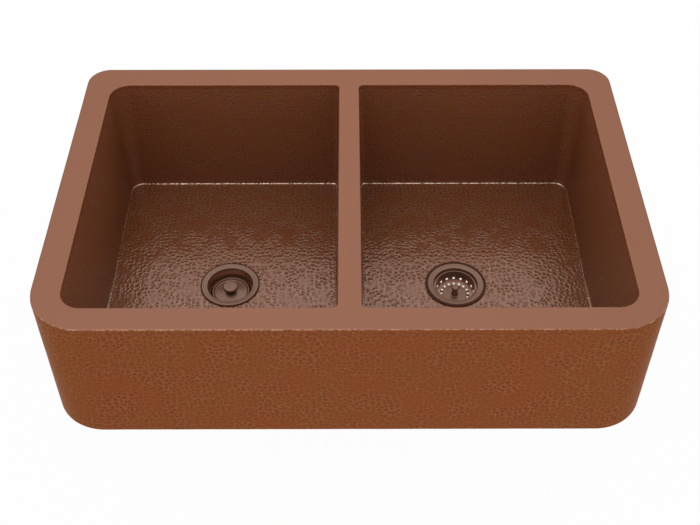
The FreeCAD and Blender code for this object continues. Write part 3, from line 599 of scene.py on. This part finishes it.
def rim():
    """The rim deck: three turned edges carried round their outlines, and the flats between them."""
    blocks, faces, sheets, tops, start = [], [], [], [], 0
    outlines = [(outer_outline(), sizes().rim_edge, 1)]
    outlines += [(join_sides(bowl_outlines(side)[0]), sizes().mouth_edge, -1) for side in (-1, 1)]
    for (points, normals), edge, turn in outlines:
        section = lip_section(edge, turn)
        height = section[:, 1]
        outer_face = np.arange(len(section)) < np.argmin(height) + 1
        worked = np.where(outer_face, np.clip((-height / MM - 0.6) / 2.4, 0, 1), 0)
        blocks.append(hammered(section, points, normals, -turn, worked))
        faces.append(quads(len(section), len(points), False, True) + start)
        sheets.append(unroll(section, points, False, True))
        tops.append(points - section[0, 0] * normals)
        start += len(blocks[-1])
    for height in (0.0, -sizes().sheet):
        plate, corners = flat_between(tops, height)
        blocks.append(plate)
        faces.append(corners + start)
        sheets.append(plate[corners][..., :2])
        start += len(plate)
    return np.concatenate(blocks), faces, sheets


# ---- turned pieces

def rounded(corners):
    """A section whose corners (radius, height, rounding) are replaced by short curves.

    Each curve is a quadratic one between the points at the rounding's distance
    before and after the corner.
    """
    corners = np.array(corners, float)
    spots, rounding = corners[:, :2], corners[:, 2]
    before, after = np.roll(spots, 1, 0), np.roll(spots, -1, 0)
    into = np.linalg.norm(spots - before, axis=1)
    out = np.linalg.norm(after - spots, axis=1)
    reach = np.minimum(rounding, 0.49 * np.minimum(into, out))
    enter = spots + (before - spots) * (reach / into)[:, None]
    leave = spots + (after - spots) * (reach / out)[:, None]
    t = np.linspace(0, 1, 5)[:, None]
    curves = [(1 - t) ** 2 * a + 2 * t * (1 - t) * b + t ** 2 * c if r > 0 else b[None]
              for a, b, c, r in zip(enter, spots, leave, reach)]
    return np.concatenate(curves)


def lathe(section, centre, columns):
    """Turn a closed section of (radius, height) in mm about the vertical through centre."""
    section = np.asarray(section) * MM
    angle = np.linspace(0, 2 * math.pi, columns, endpoint=False)
    ring = np.stack([np.cos(angle), np.sin(angle)], 1)
    plan = section[:, 0, None, None] * ring[None]
    points = with_heights(plan, section[:, 1]).reshape(-1, 3) + centre
    return points, quads(len(section), columns, True, True)


def cut_thread(points, centre, radius, low, high, pitch, depth):
    """Cut a thread into the points of a turned piece that lie on radius between two heights.

    The groove is a triangle wave of (height / pitch - angle / 2 pi) and fades out
    over the first and last turn.
    """
    away = points[:, :2] - centre[:2]
    reach = np.linalg.norm(away, axis=1)
    height = points[:, 2] - centre[2]
    turn = height / pitch - np.arctan2(away[:, 1], away[:, 0]) / (2 * math.pi)
    groove = np.abs(2 * (turn % 1) - 1)
    fade = np.clip(np.minimum(height - low, high - height) / pitch, 0, 1)
    on = (np.abs(reach - radius) < 0.01 * MM) & (fade > 0)
    shrink = np.where(on, depth * groove * fade / np.maximum(reach, 1e-9), 0)
    cut = points.copy()
    cut[:, :2] -= away * shrink[:, None]
    return cut


def stack(radius, low, high, spacing=0.35):
    """Section points up a straight side in mm, close enough to carry a thread."""
    heights = np.arange(low, high, spacing if high > low else -spacing)
    return [(radius, height, 0) for height in heights]


# Sections in mm: (radius, height over the drain's seat, rounding of that corner).
TURNED = {
    "disposal_flange": ("sink", "disposer", "sleeve_plate", 128, [
        (35.7, 0.8, 0.8), (43.3, 1.5, 0.9), (46.7, 1.5, 0.3), (46.7, 1.1, 0.1), (45.7, 0, 0),
        (38.9, 0, 0),
        (37.3, -2.6, 0), (34.9, -20, 0.5), (33.6, -23.6, 0.5), (33.6, -48.8, 0.3), (32.5, -50, 0.3),
        (32.5, -52.4, 0.3), (33.6, -53.6, 0.3), (33.6, -60, 0.3), (32, -60, 0.3), (32, -53.6, 0.3),
        (30.9, -52.4, 0.3), (30.9, -50, 0.3), (32, -48.8, 0.3), (32, -23.6, 2), (33.3, -20, 2),
        (35.06, -2.6, 0.8)]),
    "stopper_dish": ("stopper", "disposer", "drain_plate", 112, [
        (0, -12.4, 0), (7, -12.6, 1), (25.4, -17, 1.2), (27.5, -13.8, 0.5), (29.3, -13.8, 0.7),
        (29.3, -16.2, 0.7), (25.5, -19, 0.6), (21.5, -19, 0), (21.5, -21.4, 0), (23.2, -21.4, 0.3),
        (23.2, -23, 0.4), (0, -23, 0)]),
    "stopper_knob": ("stopper", "disposer", "drain_plate", 96, [
        (0, -2.3, 0), (10.7, -2.3, 0.5), (11.7, -3.3, 0.9), (11.7, -7.4, 1.2), (4.2, -9.4, 0.8),
        (4.2, -11.8, 0.5), (6.0, -12.9, 0), (0, -12.9, 0)]),
    "stopper_seal": ("stopper", "disposer", "soft_rubber", 112, [
        (21.5, -19, 0), (29, -19, 0.8), (33.1, -17.7, 0.3), (33.1, -18.7, 0.3), (29, -21.4, 0.8),
        (21.5, -21.4, 0)]),
    "strainer_body": ("sink", "strainer", "cup_plate", 144, [
        (34.7, 1.0, 0.8), (43.9, 1.8, 0.8), (47.9, 1.8, 0.3), (47.9, 1.4, 0.1), (46.7, 0, 0),
        (38.9, 0, 0),
        *stack(37, -2.6, -28.2), (37, -28.2, 0), (35.2, -30, 0), (26, -47, 0.5), (18, -47, 0),
        (18, -44, 0.4), (24, -44, 0.8), (31.2, -30, 2), (31.8, -5.2, 0.3), (33.7, -5.2, 0.3)]),
    "post_knob": ("basket_post", "strainer", "drain_plate", 64, [
        (0, -5, 0), (4.7, -5, 0.6), (6, -6.3, 0.9), (6, -7.6, 0.8), (4.4, -9.4, 0.9),
        (4.4, -18.4, 0.8), (5.6, -21.2, 0), (3, -21.2, 0), (3, -13, 0), (0, -13, 0)]),
}
SCREW = [(0, -60, 0), *stack(3.0, -60, -7.0, 0.2), (3.0, -6.8, 0), (2.6, -6.6, 0), (0, -6.6, 0)]
SCREW_HEAD = [(0, -64, 0), (4.6, -64, 0.5), (5.2, -63.2, 0.5), (5.2, -60, 0.3), (0, -60, 0)]


def mounting_screw(turn):
    """One of the disposer's screws: a threaded shank and a round head, at a third of a turn."""
    angle, circle = 2 * math.pi * turn / 3, 47.0 * MM
    centre = DRAINS["disposer"] + circle * np.array([math.cos(angle), math.sin(angle), 0])
    shank, faces = lathe(rounded(SCREW), centre, 32)
    shank = cut_thread(shank, centre, 3.0 * MM, -60 * MM, -6.8 * MM, 1.2 * MM, 0.45 * MM)
    head, more = lathe(rounded(SCREW_HEAD), centre, 32)
    return np.concatenate([shank, head]), np.concatenate([faces, more + len(shank)])


# ---- shading

def joined(operation, swapped=False):
    """The method that joins a socket and another term in a Math node."""
    def join(socket, other):
        terms = (other, socket) if swapped else (socket, other)
        return socket.graph.math(operation, *terms)
    return join


class Socket:
    """One output of a node; arithmetic on it adds Math nodes."""
    __add__, __radd__ = joined("ADD"), joined("ADD", swapped=True)
    __sub__, __rsub__ = joined("SUBTRACT"), joined("SUBTRACT", swapped=True)
    __mul__, __rmul__ = joined("MULTIPLY"), joined("MULTIPLY", swapped=True)
    __truediv__, __pow__ = joined("DIVIDE"), joined("POWER")

    def __init__(self, graph, output):
        self.graph = graph
        self.output = output

    def math(self, operation, *terms):
        """A Math node whose first term is this socket."""
        return self.graph.math(operation, self, *terms)

    def axis(self, letter):
        """The X, Y or Z of a point."""
        return self.graph.add("SeparateXYZ", values={0: self}, output=letter)

    def clip(self):
        """Held between 0 and 1."""
        return self.math("MAXIMUM", 0.0).math("MINIMUM", 1.0)

    def between(self, low, high):
        """0 at low, 1 at high, straight in between."""
        return ((self - low) / (high - low)).clip()

    def below(self, low, high):
        """1 at low, 0 at high, straight in between."""
        return 1.0 - self.between(low, high)

    def band(self, low, full, fade, high):
        """0 at low, 1 from full to fade, 0 again at high."""
        return self.between(low, full) - self.between(fade, high)


def far(x, y):
    """The length of the way (x, y)."""
    return (x * x + y * y).math("SQRT")


def beside_hole(x, y, away):
    """How far a point lies beside the nearest hole of a row, along the row's circle."""
    step = 2 * math.pi / BASKET_HOLES
    turn = y.math("ARCTAN2", x) * (1 / step)
    return (turn - turn.math("ROUND")) * step * away


class Graph:
    """The node tree of a material or of the world."""

    def __init__(self, tree):
        self.tree = tree
        tree.nodes.clear()

    def add(self, kind, settings=None, values=None, output=0):
        """Add a node, set its properties and inputs, and return one of its outputs."""
        node = self.tree.nodes.new("ShaderNode" + kind)
        for key, value in (settings or {}).items():
            setattr(node, key, value)
        for key, value in (values or {}).items():
            if isinstance(value, Socket):
                self.tree.links.new(value.output, node.inputs[key])
            else:
                node.inputs[key].default_value = value
        return Socket(self, node.outputs[output]) if node.outputs else None

    def math(self, operation, *terms):
        """A Math node."""
        return self.add("Math", {"operation": operation}, dict(enumerate(terms)))

    def blend(self, share, first, second):
        """Mix two colours by a share from 0 to 1."""
        pad = [value if isinstance(value, Socket) else (*value, 1.0) for value in (first, second)]
        return self.add("Mix", {"data_type": "RGBA"}, {0: share, 6: pad[0], 7: pad[1]}, 2)

    def point(self):
        """The point on the object, in metres."""
        return self.add("TexCoord", output="Object")

    def place(self, letter):
        """The X, Y or Z of that point in millimetres."""
        return self.point().axis(letter) * (1 / MM)

    def from_drain(self, centre):
        """Millimetres from the middle of a drain in X and Y, and over its seat in Z."""
        return [self.place(letter) - float(middle) / MM for letter, middle in zip("XYZ", centre)]

    def noise(self, scale, detail=3.0):
        """Noise whose patches are 1 / scale metres, from 0 to 1."""
        return self.add("TexNoise", values={
            "Vector": self.point(), "Scale": scale, "Detail": detail, "Roughness": 0.5})

    def surface(self, **values):
        """A Principled surface on the material's output; underscores stand for spaces."""
        inputs = {key.replace("_", " "): value for key, value in values.items()}
        shader = self.add("BsdfPrincipled", values=inputs)
        self.add("OutputMaterial", values={"Surface": shader})


def new_material(name):
    """A material with an empty node tree."""
    material = bpy.data.materials.new(name)
    material.use_nodes = True
    return material, Graph(material.node_tree)


def seen_directly(graph):
    """1 for what the eye, a mirror or glass shows, and 0 for light on a matt surface."""
    seen = graph.add("LightPath", output="Is Camera Ray")
    for kind in ("Is Glossy Ray", "Is Transmission Ray"):
        seen = seen.math("MAXIMUM", graph.add("LightPath", output=kind))
    return seen


def patina(graph, pit, ridge):
    """Mottled brown patina, dark in the pits of the hammer marks and light on the ridges."""
    tint = colours()
    brown = graph.blend(graph.noise(11.0).between(0.34, 0.66), tint.warm, tint.brown)
    return graph.blend(pit, graph.blend(ridge, brown, tint.ridge), tint.pit)


def marks(graph):
    """The small hammer marks on the flat sheet: a pit and a ridge, each from 0 to 1.

    pit = (1 - (d / bowl)^2)^2 and ridge = 1 - e / edge, with d the way to the nearest
    blow and e that to the line between two blows, in spacings; both fade in patches.
    """
    bowl, edge = 0.46, 0.16
    flat = graph.add("UVMap", {"uv_map": "sheet"})
    stir = graph.add("TexNoise", output="Color",
                     values={"Vector": flat, "Scale": 95.0, "Detail": 1.0})
    place = graph.add("VectorMath", {"operation": "MULTIPLY_ADD"},
                      {0: stir, 1: (6 * MM, 6 * MM, 0.0), 2: flat})
    blow, line = [graph.add("TexVoronoi", {"voronoi_dimensions": "2D", "feature": kind}, {
        "Vector": place, "Scale": 1 / sizes().dimple, "Randomness": 0.85})
        for kind in ("F1", "DISTANCE_TO_EDGE")]
    pit = (1.0 - (blow / bowl) ** 2.0).math("MAXIMUM", 0.0) ** 2.0
    ridge = (1.0 - line / edge).math("MAXIMUM", 0.0)
    strength = 0.3 + 0.7 * graph.noise(34.0, 2.0).between(0.36, 0.62)
    return pit * strength, ridge * strength


def worn_marks(graph):
    """The marks of the skirt and the lips: the same, with ridges broken into short pieces."""
    pit, ridge = marks(graph)
    return pit, ridge * (0.25 + 0.75 * graph.noise(230.0, 1.0).between(0.40, 0.56))


def worn_patina(graph, pit, ridge):
    """The patina with those marks, which show weakly in its colour."""
    return patina(graph, pit * 0.55, ridge * 0.45)


def struck(graph, pit, ridge):
    """The normal of the sheet: pits go down by the depth of a mark, ridges rise a little."""
    return graph.add("Bump", values={
        "Height": 1.0 - pit + 0.35 * ridge, "Distance": sizes().depth, "Strength": 1.0})


def skirt_material():
    """Satin hammered copper of the apron and the rear skirt."""
    material, graph = new_material("skirt_copper")
    pit, ridge = worn_marks(graph)
    graph.surface(Base_Color=worn_patina(graph, pit, ridge), Metallic=0.9,
                  Roughness=0.40 + 0.08 * graph.noise(60.0), Specular_Tint=EDGE_TINT,
                  Normal=struck(graph, pit, ridge))
    return material


def bowl_material():
    """Hammered copper under a hard clear finish, glossy on the floor and duller up the walls.

    The bend between them carries a painted highlight in a broken line, which glows on the front
    half, and painted shade darkens the walls towards the floor.
    """
    material, graph = new_material("bowl_copper")
    pit, ridge = marks(graph)
    tint, over = colours(), graph.place("Z") - bowl_floor() / MM
    wall = over.between(2.0, 9.0)
    foot = wall * over.below(5.0, 120.0)
    line = over.band(0.25, 0.5, 1.6, 2.4)
    # Painted highlight: a broken light line along the bend, glowing on the front half.
    bend_highlight = line * graph.noise(260.0, 1.0).between(0.36, 0.5)
    near = graph.place("Y").below(-150, 0.0)
    crest = ridge * (1.0 - 0.8 * wall)
    base = graph.blend(0.55 - 0.45 * pit, patina(graph, pit, 0.0), tint.deep)
    # Painted shade: the walls darken towards the floor.
    base = graph.blend(0.22 * foot, base, tint.pit)
    base = graph.blend((0.3 * crest).math("MAXIMUM", bend_highlight), base, tint.bend_highlight)
    graph.surface(Base_Color=base, Metallic=(0.14 + 0.46 * crest).math("MAXIMUM", bend_highlight),
                  Roughness=0.13 + 0.20 * pit + 0.32 * wall, IOR=FINISH_IOR,
                  Specular_Tint=FINISH_TINT, Normal=struck(graph, pit, ridge),
                  Emission_Color=graph.blend(bend_highlight * near, BLACK, BEND_GLOW),
                  Emission_Strength=1.0)
    return material


def rim_material():
    """Smooth satin copper on top, hammered patina on the turned-down lips.

    The outer edge carries a painted highlight in a broken line along the apron and is dark
    elsewhere, and the lips in the bowls are finished like the bowls.
    """
    material, graph = new_material("rim_copper")
    tint, half, corner = colours(), RIM_HIGH[:2] / MM, sizes().corner_back / MM
    x, y = (graph.place(letter).math("ABSOLUTE") for letter in "XY")
    height, front = graph.place("Z"), graph.place("Y").below(-220, -200)
    flat = height.between(-1.3, -0.8)
    bowl = (x.below(half[0] - 31, half[0] - 29)
            * y.below(half[1] - 31, half[1] - 29))
    over = [(side - (float(reach) - corner)).math("MAXIMUM", 0.0)
            for side, reach in zip((x, y), half)]
    back = graph.place("Y").between(half[1] - corner, half[1] - 10)
    inset = corner - far(*over) - 1.7 * back
    dark = inset.below(0.9, 1.9) * (1.0 - front)
    crest = height.band(-1.7, -1.3, -0.8, -0.4)
    # Painted highlight: this mask lays a broken light line along the crest of the front edge.
    worn = crest * front * (1.0 - bowl) * graph.noise(190.0, 1.0).between(0.42, 0.60)
    pit, ridge = (mark * (1.0 - flat) for mark in worn_marks(graph))
    satin = graph.blend(graph.noise(9.0, 4.0), *([c * part for c in tint.rim]
                                                 for part in (0.97, 1.03)))
    base = graph.blend(flat, worn_patina(graph, pit, ridge), satin)
    base = graph.blend(worn * 0.75, base, tint.bare_and_highlight)
    base = graph.blend(dark * 0.6, base, tint.edge)
    graph.surface(Base_Color=base, Metallic=0.92 - 0.67 * (bowl * (1.0 - flat)),
                  Roughness=0.50 - 0.06 * (1.0 - flat), IOR=FINISH_IOR, Specular_Tint=EDGE_TINT,
                  Normal=struck(graph, pit, ridge))
    return material


def plain_material(name, base, metallic, roughness, shine=0.5):
    """A finish of one colour with slight, uneven sheen."""
    material, graph = new_material(name)
    graph.surface(Base_Color=(*base, 1.0), Metallic=metallic, Specular_IOR_Level=shine,
                  Roughness=roughness - 0.04 + 0.08 * graph.noise(120.0))
    return material


def row_spots(graph, centre, level, ring, drop):
    """Painted spots of light, placed where a high, far light would fall through one row of the
    basket's holes.

    Each point is carried back along the light to the row's level, where the spot is the
    disc round the nearest hole, at ring from the middle.  The light goes no farther than
    drop below the row.
    """
    x, y, height = graph.from_drain(centre)
    rise = level - height
    x, y = (part + rise * slant for part, slant in zip((x, y), LIGHT_SLANT))
    away = far(x, y)
    disc = far(beside_hole(x, y, away), away - ring).below(2.5, 2.9)
    return disc * rise.between(0.0, 0.2) * rise.below(drop, drop + 1)


def flange_material(name, drain, land, lit=False):
    """Antique copper plate, with a painted shade ring outside the land, unplated copper inside the
    mouth, and a faint painted glow down the throat.

    lit puts painted spots of light on the inside of the strainer's cup.
    """
    material, graph = new_material(name)
    tint, centre = colours(), DRAINS[drain]
    x, y, height = graph.from_drain(centre)
    away = far(x, y)
    # Painted shade: a dark ring on the flange's outer edge where it meets the bowl floor.
    edge = away.between(land, land + 0.3) * height.between(0.9, 1.3)
    throat = away.below(35.2, 35.8) * height.below(-3.0, -1.0)
    inside = away.below(33.8, 34.2) * height.below(-7.0, -6.0)
    plate = graph.blend(throat * 0.5, tint.plate, tint.bare_and_highlight)
    # Painted glow: faint emission in the throat lifts its shade.
    glow = graph.blend(throat, BLACK, THROAT_GLOW)
    if lit:
        # Painted spots of light inside the cup, as emission.
        upper, lower = (row_spots(graph, centre, *row) for row in (UPPER_ROW, LOWER_ROW))
        glow = graph.blend(upper.math("MAXIMUM", lower) * inside, glow, tint.light)
    graph.surface(Base_Color=graph.blend(edge, plate, tint.edge), Metallic=0.6 + 0.4 * throat,
                  Roughness=0.32 + 0.25 * edge, Emission_Color=glow, Emission_Strength=1.0)
    return material


def basket_material():
    """Antique copper plate of the basket, with painted light on the step between its rows of holes.

    The bores of the upper holes carry a painted white glow, as white as what shows through them.
    """
    material, graph = new_material("basket_plate")
    tint = colours()
    x, y, height = graph.from_drain(DRAINS["strainer"])
    away, rise = far(x, y), height - UPPER_ROW[0]
    # Painted light: the step is lightened against the shade inside the basket.
    step = (away.band(23.0, 23.8, 27.4, 28.0)
            * height.between(-19.9, -19.6) * height.below(-18.9, -18.6))
    # Painted glow on the bores of the upper holes.
    hole = far(beside_hole(x, y, away), rise).below(1.93, 1.97)
    hole = hole * away.between(27.5, 28.0)
    graph.surface(Base_Color=graph.blend(step * 0.8, tint.plate, tint.bare_and_highlight), Metallic=0.6,
                  Roughness=0.32, Emission_Color=graph.blend(hole, BLACK, tint.light),
                  Emission_Strength=1.0)
    return material


def material_named(name):
    """The finish of that name, made on first use."""
    found = bpy.data.materials.get(name)
    if found:
        return found
    tint = colours()
    makers = {
        "skirt_copper": skirt_material,
        "bowl_copper": bowl_material,
        "rim_copper": rim_material,
        "drain_plate": lambda: plain_material(name, tint.plate, 0.6, 0.32),
        "basket_plate": basket_material,
        "sleeve_plate": lambda: flange_material(name, "disposer", 44.3),
        "cup_plate": lambda: flange_material(name, "strainer", 43.4, lit=True),
        "zinc_steel": lambda: plain_material(name, tint.steel, 1.0, 0.34),
        "raw_brass": lambda: plain_material(name, tint.brass, 1.0, 0.38),
        "soft_rubber": lambda: plain_material(name, tint.rubber, 0.0, 0.8, 0.15),
        "pressed_fibre": lambda: plain_material(name, tint.fibre, 0.0, 0.8),
    }
    return makers[name]()


def dress(node, finish):
    """Give a CAD node that stays a better finish."""
    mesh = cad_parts[node].data
    mesh.materials.clear()
    mesh.materials.append(material_named(finish))


# ---- operators

class PieceOperator(Operator):
    """Shared settings of every operator that builds a group of pieces."""
    bl_options = {"REGISTER", "UNDO"}


class SINK_OT_rim(PieceOperator):
    """Build the smooth rim deck with its hammered lips"""
    bl_idname = "sink.rim"
    bl_label = "Rim"

    def execute(self, context):
        make_piece("rim_sheet", SINK, "rim_deck", "rim_copper", *rim())
        return {"FINISHED"}


class SINK_OT_skirt(PieceOperator):
    """Build the hammered apron and rear skirt"""
    bl_idname = "sink.skirt"
    bl_label = "Skirt"

    def execute(self, context):
        for name, node, front in (("apron_sheet", "front_apron", True),
                                  ("rear_sheet", "rear_skirt", False)):
            points, faces, sheet = skirt(front)
            make_piece(name, SINK, node, "skirt_copper", points, [faces], [sheet], capped=True,
                       crease=SHEET_CREASE)
        return {"FINISHED"}


class SINK_OT_bowls(PieceOperator):
    """Build both hammered bowls: a wall and a floor each"""
    bl_idname = "sink.bowls"
    bl_label = "Bowls"

    def execute(self, context):
        for side, node, drain in ((-1, "left_bowl", "disposer"), (1, "right_bowl", "strainer")):
            for part, (points, faces, sheet) in (("wall", bowl_wall(side)),
                                                 ("floor", bowl_bottom(side, DRAINS[drain]))):
                make_piece(f"{node}_{part}", SINK, node, "bowl_copper", points, [faces], [sheet],
                           crease=SHEET_CREASE)
        return {"FINISHED"}


class SINK_OT_drains(PieceOperator):
    """Build the turned pieces of both drains that show from above"""
    bl_idname = "sink.drains"
    bl_label = "Drains"

    def execute(self, context):
        for node, (body, drain, finish, columns, corners) in TURNED.items():
            points, faces = lathe(rounded(corners), DRAINS[drain], columns)
            if node == "strainer_body":
                points = cut_thread(points, DRAINS[drain], 37 * MM, -28.2 * MM, -3.5 * MM,
                                    1.8 * MM, 0.6 * MM)
            make_piece(f"turned_{node}", body, node, finish, points, [faces],
                       crease=TURNED_CREASE)
        dress("basket_cup", "basket_plate")
        return {"FINISHED"}


class SINK_OT_fixings(PieceOperator):
    """Build the mounting screws and dress the gaskets, rings, nuts and pipe under the bowls"""
    bl_idname = "sink.fixings"
    bl_label = "Fixings"

    def execute(self, context):
        finishes = {
            "pressed_fibre": ["disposal_gasket", "friction_ring"],
            "zinc_steel": ["backup_flange", "mounting_ring", "snap_ring", "post_clip"],
            "raw_brass": ["outlet_stub", "strainer_locknut", "coupling_nut", "tailpiece",
                          "post_stem"],
            "soft_rubber": ["strainer_washer", "tailpiece_washer", "post_plug"],
        }
        for finish, nodes in finishes.items():
            for node in nodes:
                dress(node, finish)
        screws = [mounting_screw(turn) for turn in range(3)]
        starts = np.cumsum([0] + [len(points) for points, _ in screws[:-1]])
        make_piece("threaded_screws", SINK, "mounting_screws", "zinc_steel",
                   np.concatenate([points for points, _ in screws]),
                   [faces + start for start, (_, faces) in zip(starts, screws)],
                   crease=TURNED_CREASE)
        return {"FINISHED"}


def add_lamp(name, place, aim, size, power):
    """A soft square lamp at place, turned towards aim."""
    light = bpy.data.lights.new(name, "AREA")
    light.shape, light.size, light.energy = "SQUARE", size, power
    lamp = add_object(name, light)
    lamp.location = place
    direction = (np.array(aim) - place) / np.linalg.norm(np.array(aim) - place)
    pitch = math.acos(-direction[2])
    lamp.rotation_euler = Euler((pitch, 0, math.atan2(direction[1], direction[0]) - math.pi / 2))


def build_world():
    """A white studio: full white to the eye and to metal, softer as a light."""
    world = bpy.data.worlds.new("studio")
    world.use_nodes = True
    bpy.context.scene.world = world
    graph = Graph(world.node_tree)
    background = graph.add("Background", values={
        "Color": (1, 1, 1, 1), "Strength": 0.75 + 0.25 * seen_directly(graph)})
    graph.add("OutputWorld", values={"Surface": background})


def build_floor():
    """A pale floor under the lowest piece; it keeps the object's shadow."""
    level, reach = CAD_BOUNDS[0][2] - 0.5 * MM, 30.0
    mesh = bpy.data.meshes.new("floor")
    corners = [(-reach, -reach), (reach, -reach), (reach, reach), (-reach, reach)]
    mesh.from_pydata([(*corner, level) for corner in corners], [], [(0, 1, 2, 3)])
    floor = add_object("floor", mesh)
    material, graph = new_material("floor")
    paint = graph.add("BsdfDiffuse", values={"Color": (0.95, 0.95, 0.95, 1)})
    white = graph.add("Emission", values={"Strength": 1.0})
    mixed = graph.add("MixShader", values={
        0: 0.97 * seen_directly(graph), 1: paint, 2: white})
    graph.add("OutputMaterial", values={"Surface": mixed})
    mesh.materials.append(material)


def build_camera():
    """The camera that took the photograph."""
    data = bpy.data.cameras.new("camera")
    data.sensor_width = 36.0
    data.lens = FOCAL * data.sensor_width / PHOTO_WIDTH
    camera = add_object("camera", data)
    camera.location = EYE
    camera.rotation_euler = Euler((math.pi / 2 - PITCH, 0, -YAW))
    bpy.context.scene.camera = camera


class SINK_OT_stage(PieceOperator):
    """Set up the white studio, its soft lamps, the floor and the camera"""
    bl_idname = "sink.stage"
    bl_label = "Stage"

    def execute(self, context):
        context.scene.view_settings.view_transform = "Standard"
        build_world()
        build_floor()
        build_camera()
        for lamp in LAMPS:
            add_lamp(*lamp)
        return {"FINISHED"}


class SINK_PT_panel(Panel):
    """Sizes, colours and build steps of the copper sink"""
    bl_idname = "SINK_PT_panel"
    bl_label = "Copper Sink"
    bl_space_type = "VIEW_3D"
    bl_region_type = "UI"
    bl_category = "Sink"

    def draw(self, context):
        for step in STEPS:
            self.layout.operator(step.bl_idname)
        for group in (context.scene.sink_sizes, context.scene.sink_colours):
            for key in group.__annotations__:
                self.layout.prop(group, key)


STEPS = (SINK_OT_stage, SINK_OT_rim, SINK_OT_skirt, SINK_OT_bowls, SINK_OT_drains,
         SINK_OT_fixings)
CLASSES = (SinkSizes, SinkColours, *STEPS, SINK_PT_panel)


def register():
    """Register the classes and hang the settings on the scene."""
    for item in CLASSES:
        bpy.utils.register_class(item)
    bpy.types.Scene.sink_sizes = PointerProperty(type=SinkSizes)
    bpy.types.Scene.sink_colours = PointerProperty(type=SinkColours)


def unregister():
    """Undo what register did."""
    del bpy.types.Scene.sink_colours
    del bpy.types.Scene.sink_sizes
    for item in reversed(CLASSES):
        bpy.utils.unregister_class(item)


def main():
    register()
    for step in (bpy.ops.sink.stage, bpy.ops.sink.rim, bpy.ops.sink.skirt, bpy.ops.sink.bowls,
                 bpy.ops.sink.drains, bpy.ops.sink.fixings):
        step()


if __name__ == "__main__":
    main()
